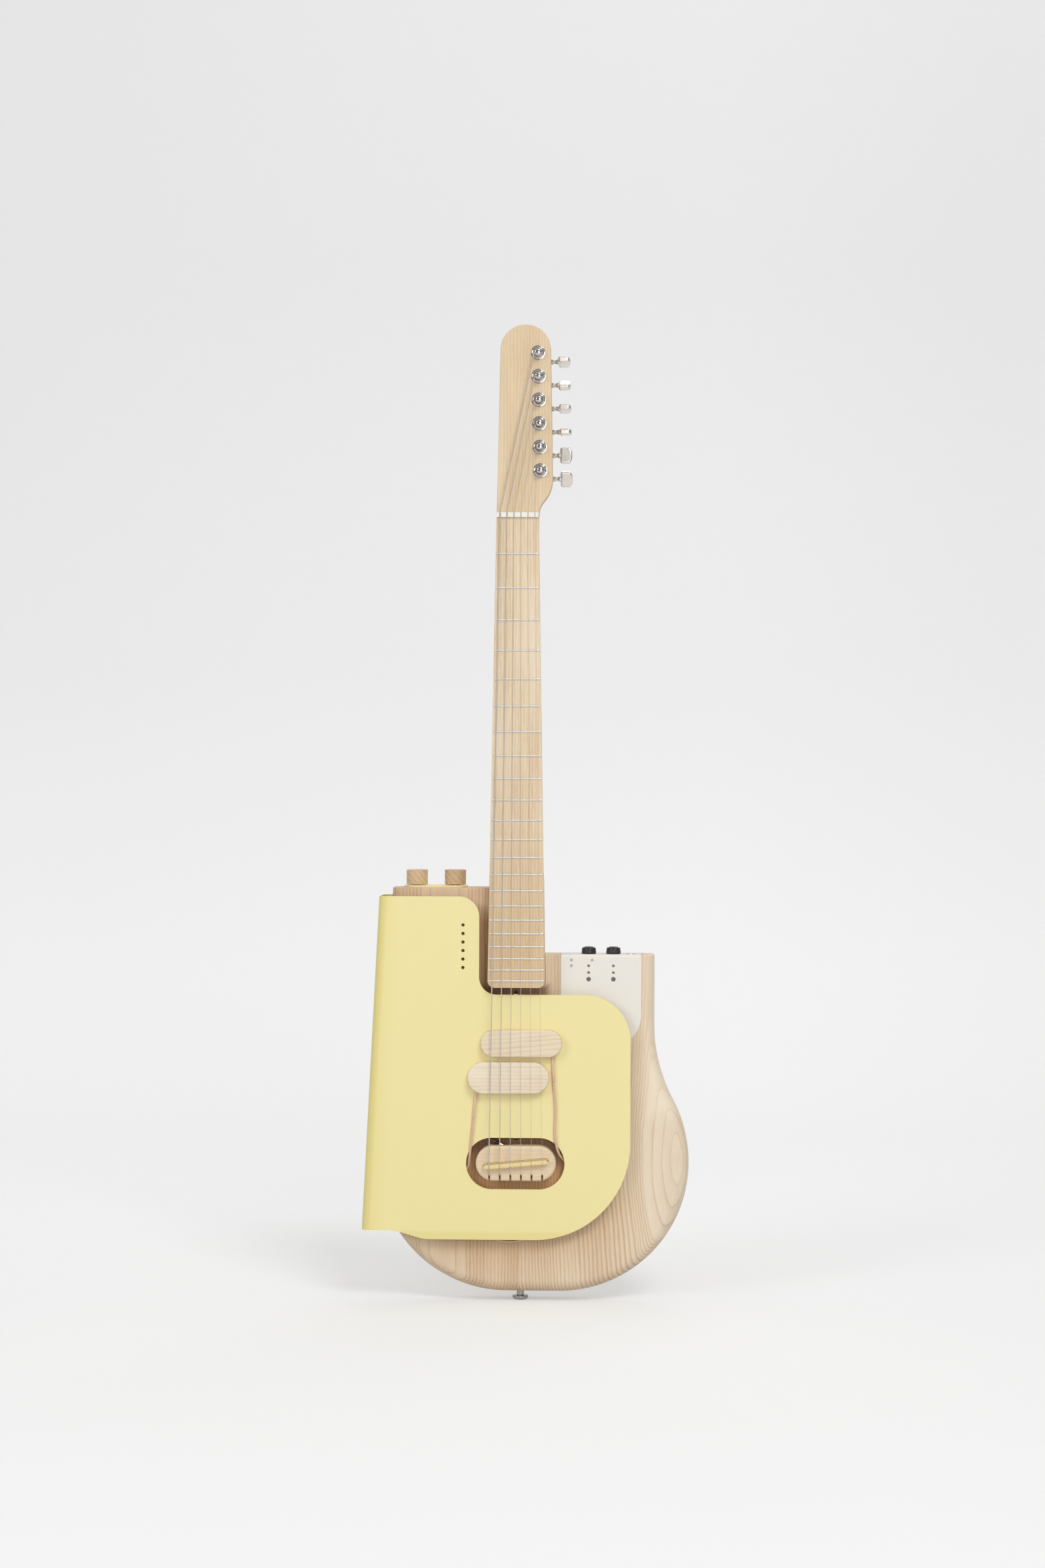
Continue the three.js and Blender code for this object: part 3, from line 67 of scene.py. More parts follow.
SCALE_LENGTH = 648
FRET_COUNT = 22
NUT_Z = 793.2
NECK_X = -3.8
GAUGES = [1.17, 0.91, 0.66, 0.43, 0.33, 0.25]
WOUND_STRINGS = 3
NUT_SPREAD = 35.1
SADDLE_SPREAD = 53.4
LEFT_TOP_Z = 419.8
RIGHT_TOP_Z = 352.2
SEAT = 0.3
OVERRUN = 3
SMALL_OVERRUN = 1

WOOD_FRONT = -20
WOOD_BACK = 20
SHEET = 2
SHEET_BACK = -30
SHEET_FRONT = -32
BOARD_TOP = -41
NECK_FRONT = -35
HEAD_BACK = -21
HEEL_BACK = -13

board = Sizes(end_z=319.8, half_at_nut=21.3, half_at_end=29, corner=7, edge=0.5)
nut = Sizes(thickness=4.9, height=8.3, slot=0.9, corner=0.7, lip=0.12, edge=0.1)
fret = Sizes(width=2.1, height=1, inset=0.8, bevel=0.7, sunk=0.2, slot=0.56, slot_depth=2.2,
             slot_reach=40, tang=0.5, tang_end=0.25, tang_top=0.1, tang_gap=0.05,
             crown_foot=0.16, crown_power=0.8)
heel = Sizes(top_z=424, blend=22)
shaft = Sizes(at_nut=14.6, at_body=17.2, side_flat=2, roundness=2.3, squareness=40)
head = Sizes(thickness=14, end_radius=25.4, reach=195.1, end_offset=7.5, shoulder_offset=35.2,
             shoulder_rise=41, throat_offset=21.9, throat_rise=5, shoulder_pull=23, throat_pull=13,
             edge=1.0, tuck=0.05)
tuner = Sizes(pitch=23.76, drift=0.52, first_offset=19.9, first_rise=166.4, hole=5)
saddle = Sizes(length=66.5, width=5.8, height=6.8, edge=1.3, bass_z=140.3, treble_z=145.3,
               plant=1.2, nick=0.55, crown=0.22, dip=0.25, ahead=0.3)
ball = Sizes(radius=1.6, length=2.4, core=0.8)
TURNS = 2
TURN_STEPS = 28
TURN_GAP = 0.12
bout = Sizes(radius=131.5, centre_x=12.7, half_flat=26.6, flare_radius=165)
body_edge = Sizes(right_x=135.6, left_lean=0.054, roundover=12, top_soft=0.8)
end_pin = Sizes(disc_radius=7.95, disc_height=4, rim=2.3, stem_radius=3.65, stem_length=6.1,
                screw_radius=2, screw_length=26)
shell = Sizes(side_gap=12.37, fold_lean=0.0501, bend=9, top_z=411.2, tab_right=-41.6,
              tab_corner=20.5, throat_corner=17.7, mid_z=312.3, right_x=111.5, shoulder_corner=46,
              bottom_z=65, belly_corner=97, hip_right=-97, hip_left=-126.5, hip_z=73.7,
              hip_corner=45, back_reach=72, back_corner=21, edge=0.35)
cutout = Sizes(x=-4.5, z=142, length=99.4, height=51.9)
vents = Sizes(inset=16.4, drop=71.7, pitch=8.6, count=6, radius=1.7)
standoff = Sizes(radius=3.5, peek=0.8, offset=-0.7, corner_inset=34, edge_inset=18, collar=2.8,
                 step=0.6, step_in=0.8)
washer = Sizes(radius=2, rise=0.6, x=-4.5, zs=(314.1, 166.2))
tail = Sizes(z=142.7, length=81, height=35.4, rise=6, edge=2.6, slot_width=1.8, slot_height=6.7,
             channel_length=58, channel_wall=6, channel_height=7.5)
anchor = Sizes(rise=1.5, height=2.8, depth=4.6, edge=0.3)
plug = Sizes(x=-16.2, z=158.4, tilt=-0.48, rise=3.5, radius=2.1, length=19.5, collar=2.5,
             collar_start=1.5, collar_end=5.5, grip=3.8, room_reach=12, shrink=0.1, step_in=0.3,
             relief_step=0.5, overlap=0.5, shoulder=1, taper=3, sleeve=0.3, mouth=0.15)
socket = Sizes(x=-12.4, width=9, top_drop=4.9, length=9.5, height=7, corner=0.6, edge=0.4)
post = Sizes(shaft=3.1, waist=2.6, dome=3.6, dome_top=9.2, dome_foot=7.2, washer=7.4,
             washer_height=0.9, bush=6.3, bush_top=5.2, bush_height=2.3, flare=0.25, flare_end=0.75,
             band_end=0.45, foot=0.1, dome_skirt=0.9, dome_drop=0.12)
housing = Sizes(half_width=8, above=7, below=10.6, depth=11, corner=2.4, seam=0.2, edge=1.8,
                sleeve=2.7, sleeve_end=15.2, sleeve_edge=0.35)
worm = Sizes(offset=6.5, radius=1.7, left_end=5, wheel_radius=4.4, wheel_half=1.7, depth=6)
button = Sizes(stem_start=15.6, stem=2.1, flare=3, blade_start=20.2, blade_length=12.4, width=16.4,
               thickness=6, edge=1.7, bow=2.6, chamfer=1.3, bulge=0.5, shoulder=3.4,
               neck=1.5, collar=0.8, root=0.4)
case_cap = Sizes(radius=1.9, proud=0.01, sunk=0.5)
BUTTON_TURNS = [72, -63, 79, 90, -8, 28]
pickup = Sizes(length=82.1, rise=8.7, edge=1.6, wall=3, roof=2.4, base=1.6, coil_width=11,
               coil_length=62, boot_radius=1.5, boot_length=24.5, boot_ring=(1.5, 1.2), seam=0.15,
               base_edge=0.2, coil_edge=0.8)
neck_pickup = Sizes(name="neck_pickup", x=1.5, z=263.6, height=27.4, boot_x=33, lean=0.05)
bridge_pickup = Sizes(name="bridge_pickup", x=-11.5, z=228.9, height=31.9, boot_x=-44.4, lean=-0.09)
cable = Sizes(radius=1.2, segment=6.6)
wood_knob = Sizes(radius=10.8, height=15, gap=0.7, edge=0.9, hollow_radius=6, hollow_depth=3.4)
set_screw = Sizes(radius=1.1, drop=7.5, turn=math.radians(70), sunk=1.2, hex=0.5, hex_floor=0.05,
                  head=0.6, gap=0.05, hole=4, length=1)
knob_row = Sizes(left_x=-106.6, spacing=39, y=0)
knob_plate = Sizes(length=64.8, width=24, thickness=2, edge=0.35)
pot_room = Sizes(length=61, width=21, depth=16)
pot = Sizes(bush=4.2, bracket=1.5, shaft=3, shaft_depth=5)
panel = Sizes(left_x=40.8, right_x=122.2, low_z=257.5, corner=35, thickness=1.2, bend=2.6,
              depth=37, proud=0.3, edge=0.2)
electronics = Sizes(rim=3.6, height=68.2, depth=36)
panel_knob = Sizes(left_x=68.9, spacing=25, y=-3, radius=7.4, top_radius=7, gap=0.4, height=6.1,
                   edge=1.5, cap_radius=4.2, cap_height=0.7, shaft_radius=2.2, shaft_depth=8, skirt=2.2,
                   brow=0.4, lip=0.1)
knurl = Sizes(count=36, radius=0.42, offset=0.22, sides=10)
pointer = Sizes(width=1, depth=2.6)
light_pipe = Sizes(radius=1.2, plain_radius=1.35, ring_bore=0.8, top_drop=5.4, drop=11.2,
                   low_drop=18, near=10.6, far=31.6, depth=0.6, edge=0.1, ring_proud=0.05)
push_button = Sizes(drop=24.7, radius=2, proud=0.4, flange_radius=3.1, flange=0.8, dish=0.12,
                    dish_edge=0.05)
jack = Sizes(x=111.5, radius=4.4, ring_radius=5.3, ring_height=0.6, bore=3.25, depth=15, half=6,
             corner=0.8, edge=0.4)
neck_plate = Sizes(width=50, height=26, thickness=1.6, corner=4, screw=2.1, clearance=0.3,
                   inset=6, reach=11, head_radius=4.2, head_height=1.5, above_heel=3, edge=0.4,
                   taper=2.5, sink=0.3, dome=0.25, cross=(4.2, 0.9), cross_depth=1)

PANEL_TOP = RIGHT_TOP_Z + panel.proud
PANEL_FRONT = WOOD_FRONT - panel.thickness
TAIL_FRONT = SHEET_FRONT - tail.rise
SADDLE_TOP = TAIL_FRONT - saddle.height
PICKUP_BACK = SHEET_FRONT - SEAT
PICKUP_FRONT = PICKUP_BACK - pickup.rise
BOOT_Y = PICKUP_BACK - pickup.boot_radius - SEAT
WORM_Y = HEAD_BACK + worm.depth
BODY_BOTTOM = end_pin.disc_height + end_pin.stem_length
KNOB_PLATE_TOP = LEFT_TOP_Z + knob_plate.thickness
TAIL_LOW = tail.z - tail.height / 2
SLOT_TOP = TAIL_LOW + tail.slot_height
CHANNEL_FRONT = TAIL_FRONT + tail.channel_wall
ANCHOR_LOW = TAIL_LOW + anchor.rise
ANCHOR_FRONT = CHANNEL_FRONT + SEAT
ANCHOR_BACK = ANCHOR_FRONT + anchor.depth
SOCKET_HIGH = tail.z + tail.height / 2 - socket.top_drop
SOCKET_LOW = SOCKET_HIGH - socket.length
NUT_TOP = NECK_FRONT - nut.height
FRET_SLOT_BACK = BOARD_TOP + fret.slot_depth
NECK_PLATE_LOW = board.end_z + neck_plate.above_heel
NECK_PLATE_BACK = WOOD_BACK + neck_plate.thickness
BOUT_Z = BODY_BOTTOM + bout.radius
LEAN_ANGLE = math.atan(body_edge.left_lean)
LEFT_EDGE = (bout.centre_x - bout.half_flat - bout.radius * math.cos(LEAN_ANGLE),
             BOUT_Z + bout.radius * math.sin(LEAN_ANGLE))
KNOB_ROW_X = knob_row.left_x + knob_row.spacing / 2
KNOB_XS = [knob_row.left_x, knob_row.left_x + knob_row.spacing]
PANEL_KNOB_XS = [panel_knob.left_x, panel_knob.left_x + panel_knob.spacing]
PUSH_BUTTON_Z = PANEL_TOP - push_button.drop
TUNER_POSTS = [
    (NECK_X + tuner.first_offset + tuner.drift * i, NUT_Z + tuner.first_rise - tuner.pitch * i)
    for i in range(len(GAUGES))
]
PLATE_SCREWS = [
    (NECK_X + sx * (neck_plate.width / 2 - neck_plate.inset),
     NECK_PLATE_LOW + neck_plate.height / 2 + sz * (neck_plate.height / 2 - neck_plate.inset))
    for sx in (-1, 1) for sz in (-1, 1)
]


def part_way(a, b, share):
    return a + (b - a) * share


def around(middle, width):
    return middle - width / 2, middle + width / 2


def wood_left_x(z):
    return LEFT_EDGE[0] + (z - LEFT_EDGE[1]) * body_edge.left_lean


FOLD_TOP_X = wood_left_x(shell.top_z) - shell.side_gap


def fold_x(z):
    return FOLD_TOP_X + (z - shell.top_z) * shell.fold_lean


# Outlines: lists of points in a plane


def arc(centre, radius, start, end, chord=CHORD):
    step = 2 * math.acos(1 - min(0.5, chord / radius))
    facets = max(2, math.ceil(abs(end - start) / step))
    angles = [start + (end - start) * i / facets for i in range(facets + 1)]
    return [(centre[0] + radius * math.cos(a), centre[1] + radius * math.sin(a)) for a in angles]


def corner_arc(before, here, after, radius, chord=CHORD):
    """The arc that rounds a corner, given the points before and after it."""
    here = Vector(here)
    back = (Vector(before) - here).normalized()
    on = (Vector(after) - here).normalized()
    half = math.acos(max(-1.0, min(1.0, back.dot(on)))) / 2
    centre = here + (back + on).normalized() * radius / math.sin(half)
    first = here + back * radius / math.tan(half) - centre
    last = here + on * radius / math.tan(half) - centre
    turn = math.atan2(first.x * last.y - first.y * last.x, first.dot(last))
    start = math.atan2(first.y, first.x)
    return arc(centre, radius, start, start + turn, chord)


def rounded(corners, closed=True, chord=CHORD):
    """Corners are (a, b) or (a, b, radius)."""
    points = []
    last = len(corners) - 1
    for i, (a, b, *radius) in enumerate(corners):
        at_end = not closed and i in (0, last)
        if at_end or not radius or not radius[0]:
            points.append((a, b))
            continue
        before = corners[i - 1][:2]
        after = corners[(i + 1) % len(corners)][:2]
        points += corner_arc(before, (a, b), after, radius[0], chord)
    return points


def circle(a, b, radius, sides=40):
    angles = [2 * math.pi * (i + 0.5) / sides for i in range(sides)]
    return [(a + radius * math.cos(t), b + radius * math.sin(t)) for t in angles]


def stadium(x, z, length, height):
    radius = height / 2
    reach = length / 2 - radius
    right = arc((x + reach, z), radius, -QUARTER, QUARTER)
    left = arc((x - reach, z), radius, QUARTER, 3 * QUARTER)
    return right + left


def rectangle(a0, a1, b0, b1, corner=0.0):
    return rounded([(a0, b0, corner), (a1, b0, corner), (a1, b1, corner), (a0, b1, corner)])


def area(outline):
    pairs = zip(outline, outline[1:] + outline[:1])
    return sum(a[0] * b[1] - b[0] * a[1] for a, b in pairs) / 2


def without_repeats(outline):
    return [p for p, q in zip(outline, outline[1:] + outline[:1]) if math.dist(p, q) > SAME_POINT]


def inset(outline, distance):
    """Every side moved inward by the distance, for an outline that runs anticlockwise."""
    moved = []
    count = len(outline)
    for i in range(count):
        here = Vector(outline[i])
        back = (here - Vector(outline[i - 1])).normalized()
        on = (Vector(outline[(i + 1) % count]) - here).normalized()
        first = Vector((-back.y, back.x))
        second = Vector((-on.y, on.x))
        middle = first + second
        scale = 2 / max(0.2, middle.length_squared)
        moved.append(tuple(here + middle * distance * scale))
    return moved


# Solids: a list of points and a list of faces, closed


def to_axis(axis, a, b, level):
    return {"y": (a, level, b), "z": (a, b, level), "x": (level, a, b)}[axis]


def plate(outline, low, high, axis="y", holes=(), edge=0.0, far_edge=None, steps=4):
    """An outline between two levels along an axis, with its edges rounded at both levels."""
    far_edge = edge if far_edge is None else far_edge
    loops = []
    for i, loop in enumerate([outline, *holes]):
        loop = without_repeats(loop)
        wanted = 1 if i == 0 else -1
        loops.append(loop if area(loop) * wanted > 0 else loop[::-1])
    levels = []
    for radius, start, sign in ((edge, low, 1), (far_edge, high, -1)):
        turns = [QUARTER * k / steps for k in range(steps + 1)] if radius else [QUARTER]
        part = [(radius * (1 - math.sin(t)), start + sign * radius * (1 - math.cos(t))) for t in turns]
        levels += part if sign > 0 else part[::-1]
    points, faces, first_rings, last_rings = [], [], [], []
    for loop in loops:
        count = len(loop)
        starts = []
        for distance, level in levels:
            starts.append(len(points))
            ring = inset(loop, distance) if distance else loop
            points += [to_axis(axis, a, b, level) for a, b in ring]
        for s, t in zip(starts, starts[1:]):
            faces += [(s + k, s + (k + 1) % count, t + (k + 1) % count, t + k) for k in range(count)]
        first_rings.append(range(starts[0], starts[0] + count))
        last_rings.append(range(starts[-1], starts[-1] + count))
    for rings in (first_rings, last_rings):
        indices = [i for ring in rings for i in ring]
        if len(rings) == 1:
            faces.append(tuple(indices))
            continue
        loops_3d = [[Vector(points[i]) for i in ring] for ring in rings]
        faces += [tuple(indices[i] for i in tri) for tri in tessellate_polygon(loops_3d)]
    return points, faces


def block(x0, x1, y0, y1, z0, z1, corner=0.0, edge=0.0, axis="y"):
    if axis == "z":
        return plate(rectangle(x0, x1, y0, y1, corner), z0, z1, "z", edge=edge)
    return plate(rectangle(x0, x1, z0, z1, corner), y0, y1, "y", edge=edge)


def rod(axis, a, b, radius, low, high, sides=32, edge=0.0):
    return plate(circle(a, b, radius, sides), low, high, axis, edge=edge)


def turned(profile, axis, centre, sides=48, closed=False):
    """A turned solid from (radius, height, fillet) points, from pole to pole or closed in a ring."""
    outline = rounded(profile, closed, FINE_CHORD)
    points, faces, starts = [], [], []
    for radius, height in outline:
        has_ring = radius > POLE
        starts.append((len(points), has_ring))
        for k in range(sides if has_ring else 1):
            angle = 2 * math.pi * k / sides
            place = to_axis(axis, radius * math.cos(angle), radius * math.sin(angle), height)
            points.append(tuple(c + p for c, p in zip(centre, place)))
    pairs = list(zip(starts, starts[1:]))
    if closed:
        pairs.append((starts[-1], starts[0]))
    for (s, s_ring), (t, t_ring) in pairs:
        for k in range(sides):
            n = (k + 1) % sides
            if s_ring and t_ring:
                faces.append((s + k, s + n, t + n, t + k))
            elif s_ring:
                faces.append((s + k, s + n, t))
            elif t_ring:
                faces.append((s, t + n, t + k))
    return points, faces


def lofted(rings):
    """A skin over rings of points, closed at both ends."""
    count = len(rings[0])
    points = [p for ring in rings for p in ring]
    faces = []
    for s in range(0, len(points) - count, count):
        faces += [(s + k, s + (k + 1) % count, s + count + (k + 1) % count, s + count + k)
                  for k in range(count)]
    faces += [tuple(range(count)), tuple(range(len(points) - count, len(points)))]
    return points, faces


def swept(points, radii, sides):
    """A tube through points, turned as little as it can be on the way."""
    points = [Vector(p) for p in points]
    last = len(points) - 1
    normal, tangent, rings = None, None, []
    for i, point in enumerate(points):
        before = (points[max(i, 1)] - points[max(i, 1) - 1]).normalized()
        after = (points[min(i + 1, last)] - points[min(i, last - 1)]).normalized()
        here = (before + after).normalized()
        if normal is None:
            guide = Vector((1, 0, 0)) if abs(here.z) > 0.5 else Vector((0, 0, 1))
            normal = guide.cross(here).normalized()
        else:
            normal = tangent.rotation_difference(here) @ normal
        tangent = here
        side = here.cross(normal)
        radius = radii[i] if isinstance(radii, list) else radii
        rings.append([tuple(point + normal * radius * math.cos(t) + side * radius * math.sin(t))
                      for t in (2 * math.pi * k / sides for k in range(sides))])
    return lofted(rings)


def moved(solid, matrix):
    points, faces = solid
    return [tuple(matrix @ Vector(p)) for p in points], faces


def turned_along(profile, tip, axis, sides=36):
    """A turned solid that starts at a tip and runs along an axis."""
    place = Matrix.Translation(tip) @ Vector((0, 0, 1)).rotation_difference(axis).to_matrix().to_4x4()
    return moved(turned(profile, "z", (0, 0, 0), sides), place)


# Meshes from solids


def mesh_of(solids, name):
    points, faces = [], []
    for solid_points, solid_faces in solids:
        start = len(points)
        points += [(x * MM, y * MM, z * MM) for x, y, z in solid_points]
        faces += [tuple(start + i for i in face) for face in solid_faces]
    mesh = bpy.data.meshes.new(name)
    mesh.from_pydata(points, [], faces)
    bm = bmesh.new()
    bm.from_mesh(mesh)
    bmesh.ops.recalc_face_normals(bm, faces=bm.faces[:])
    bm.to_mesh(mesh)
    bm.free()
    return mesh


def new_object(mesh, name):
    thing = bpy.data.objects.new(name, mesh)
    bpy.context.scene.collection.objects.link(thing)
    return thing


def settle_modifiers(thing):
    graph = bpy.context.evaluated_depsgraph_get()
    mesh = bpy.data.meshes.new_from_object(thing.evaluated_get(graph), depsgraph=graph)
    old = thing.data
    mesh.name = thing.name
    thing.modifiers.clear()
    thing.data = mesh
    bpy.data.meshes.remove(old)


def carve(thing, other, operation="DIFFERENCE"):
    """One exact boolean with an object, or with a group of solids that don't touch each other."""
    is_object = isinstance(other, bpy.types.Object)
    cutter = other if is_object else new_object(mesh_of(other, "cutter"), "cutter")
    modifier = thing.modifiers.new("carve", "BOOLEAN")
    modifier.operation = operation
    modifier.solver = "EXACT"
    modifier.object = cutter
    settle_modifiers(thing)
    mesh = cutter.data
    bpy.data.objects.remove(cutter)
    bpy.data.meshes.remove(mesh)


def soften(thing, width):
    modifier = thing.modifiers.new("soften", "BEVEL")
    modifier.width = width * MM
    modifier.segments = 3
    modifier.limit_method = "ANGLE"
    modifier.angle_limit = SOFTENED
    modifier.miter_outer = "MITER_ARC"
    settle_modifiers(thing)


def shade(thing):
    mesh = thing.data
    for polygon in mesh.polygons:
        polygon.use_smooth = True
    mesh.set_sharp_from_angle(angle=SHARP)
    modifier = thing.modifiers.new("normals", "WEIGHTED_NORMAL")
    modifier.keep_sharp = True
    settle_modifiers(thing)


def piece(name, solids, material, body="guitar", replaces=(), joins=(), keep=(), cuts=(),
          edge=0.0, blended=False):
    """A finished piece: solids joined, kept within or cut by others, softened, shaded and ridden."""
    solids = solids if isinstance(solids, list) else [solids]
    thing = new_object(mesh_of(solids, name), name)
    for operation, groups in (("UNION", joins), ("INTERSECT", keep), ("DIFFERENCE", cuts)):
        for group in groups:
            carve(thing, group, operation)
    if edge:
        soften(thing, edge)
    shade(thing)
    thing.data.materials.clear()
    thing.data.materials.append(material)
    if not blended:
        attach(thing, body)
    if replaces:
        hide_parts(*replaces)
    return thing


# Materials


class Nodes:
    """A node tree, with short ways to add to it."""

    def __init__(self, tree):
        self.tree = tree

    def add(self, kind, **settings):
        node = self.tree.nodes.new("ShaderNode" + kind)
        for key, value in settings.items():
            setattr(node, key, value)
        return node

    def put(self, value, socket):
        """A number or colour set on a socket, or a link made to it."""
        if isinstance(value, (int, float)):
            socket.default_value = value
        elif isinstance(value, tuple):
            socket.default_value = (*value, 1.0) if len(socket.default_value) == 4 else value
        else:
            self.tree.links.new(value, socket)

    def along(self, name, source):
        node = self.add("SeparateXYZ")
        self.put(source, node.inputs[0])
        return node.outputs[name.upper()]

    def spread(self, factor, low, high, start=0.0, end=1.0, smooth_ends=False):
        """A factor between start and end brought between two values."""
        node = self.add("MapRange", clamp=True)
        if smooth_ends:
            node.interpolation_type = "SMOOTHSTEP"
        for name, value in (("From Min", start), ("From Max", end), ("To Min", low), ("To Max", high)):
            node.inputs[name].default_value = value
        self.put(factor, node.inputs["Value"])
        return node.outputs["Result"]

    def ramp(self, factor, stops):
        node = self.add("ValToRGB")
        elements = node.color_ramp.elements
        while len(elements) < len(stops):
            elements.new(0.5)
        for element, (position, shown) in zip(elements, stops):
            element.position = position
            shown = (shown,) * 3 if isinstance(shown, float) else shown
            element.color = (*shown, 1.0)
        self.put(factor, node.inputs["Fac"])
        return node.outputs["Color"]


class Paint(Nodes):
    """A material's nodes, with what a surface needs. Places are in mm."""

    def __init__(self, name, roughness, metallic=0.0):
        self.material = bpy.data.materials.new(name)
        self.material.use_nodes = True
        super().__init__(self.material.node_tree)
        self.shader = self.tree.nodes["Principled BSDF"]
        self.paint(roughness, "Roughness")
        self.paint(metallic, "Metallic")
        self.place = self.mapped((1 / MM,) * 3, source=self.add("TexCoord").outputs["Object"])

    def paint(self, value, name):
        self.put(value, self.shader.inputs[name])

    def mapped(self, scale, shift=(0, 0, 0), turn=(0, 0, 0), source=None):
        node = self.add("Mapping")
        node.inputs["Location"].default_value = shift
        node.inputs["Rotation"].default_value = turn
        node.inputs["Scale"].default_value = scale
        self.put(source or self.place, node.inputs["Vector"])
        return node.outputs["Vector"]

    def noise(self, sizes, detail=3.0, roughness=0.55, source=None, shift=(0, 0, 0)):
        """Noise whose features are as large as the sizes, one number or one for each axis."""
        sizes = (sizes,) * 3 if isinstance(sizes, (int, float)) else sizes
        node = self.add("TexNoise")
        node.inputs["Scale"].default_value = 1.0
        node.inputs["Detail"].default_value = detail
        node.inputs["Roughness"].default_value = roughness
        self.put(self.mapped(tuple(1 / s for s in sizes), shift, source=source), node.inputs["Vector"])
        return node.outputs["Fac"]

    def math(self, operation, a, b=None):
        node = self.add("Math", operation=operation)
        self.put(a, node.inputs[0])
        if b is not None:
            self.put(b, node.inputs[1])
        return node.outputs[0]

    def swing(self, factor, amount):
        """A factor from 0 to 1 as a swing either way about nothing."""
        return self.math("MULTIPLY", self.math("SUBTRACT", factor, 0.5), 2 * amount)

    def sum(self, *values):
        total = values[0]
        for value in values[1:]:
            total = self.math("ADD", total, value)
        return total

    def mixed(self, factor, a, b, blend="MIX"):
        node = self.add("Mix", data_type="RGBA", blend_type=blend)
        for value, socket in ((factor, node.inputs[0]), (a, node.inputs[6]), (b, node.inputs[7])):
            self.put(value, socket)
        return node.outputs[2]

    def along(self, name, source=None):
        return super().along(name, source or self.place)

    def soft_box(self, low, high, soft):
        """1 inside a box in the X Z plane, and 0 outside, with soft borders."""
        middle = [(a + b) / 2 for a, b in zip(low, high)]
        reach = [(b - a) / 2 for a, b in zip(low, high)]
        past = []
        for name, centre, half in zip("xz", middle, reach):
            away = self.math("ABSOLUTE", self.math("SUBTRACT", self.along(name), centre))
            past.append(self.math("SUBTRACT", away, half))
        return self.spread(self.math("MAXIMUM", *past), 1.0, 0.0, -soft, soft, smooth_ends=True)

    def gloss(self, factor, low, high):
        """Roughness between two values."""
        self.paint(self.spread(factor, low, high), "Roughness")

    def bumped(self, height, strength, distance):
        node = self.add("Bump")
        node.inputs["Strength"].default_value = strength
        node.inputs["Distance"].default_value = distance * MM
        self.put(height, node.inputs["Height"])
        self.paint(node.outputs["Normal"], "Normal")


def colour(shown):
    """A colour as a screen gives it, from 0 to 255, in linear light."""
    shares = [c / 255 for c in shown]
    return tuple(c / 12.92 if c <= 0.04045 else ((c + 0.055) / 1.055) ** 2.4 for c in shares)


# Growth rings are counted by their distance from an eye, the place where a board's face comes
# nearest to the pith, which stands a hollow away in front. Each band of rings is (from, to, count).

FLAT_SAWN_LINE = [(0.0, 1.0), (0.07, 0.8), (0.2, 0.45), (0.45, 0.3), (0.8, 0.2), (1.0, 0.26)]
RIFT_SAWN_LINE = [(0.0, 0.3), (0.12, 1.0), (0.34, 0.85), (0.5, 0.3), (0.8, 0.0), (1.0, 0.22)]
NEUTRAL = 0.35
CALM = 0.5
CALM_REACH = 60
ZONE_SOFT = 3
EYE_REACH = 105
HOLLOW = 30.0
FAINTEST_RING = 0.45
WOOD_ROUGHNESS = 0.5
COAT_ROUGHNESS = 0.45
# How wide and how long the wood's own features are, in mm
WAVES = (26, 120)
JITTERS = (3.2, 15)
FIBRES = (0.9, 16)
CLOUDS = (34, 170)
HAIR_LENGTH = 20.0


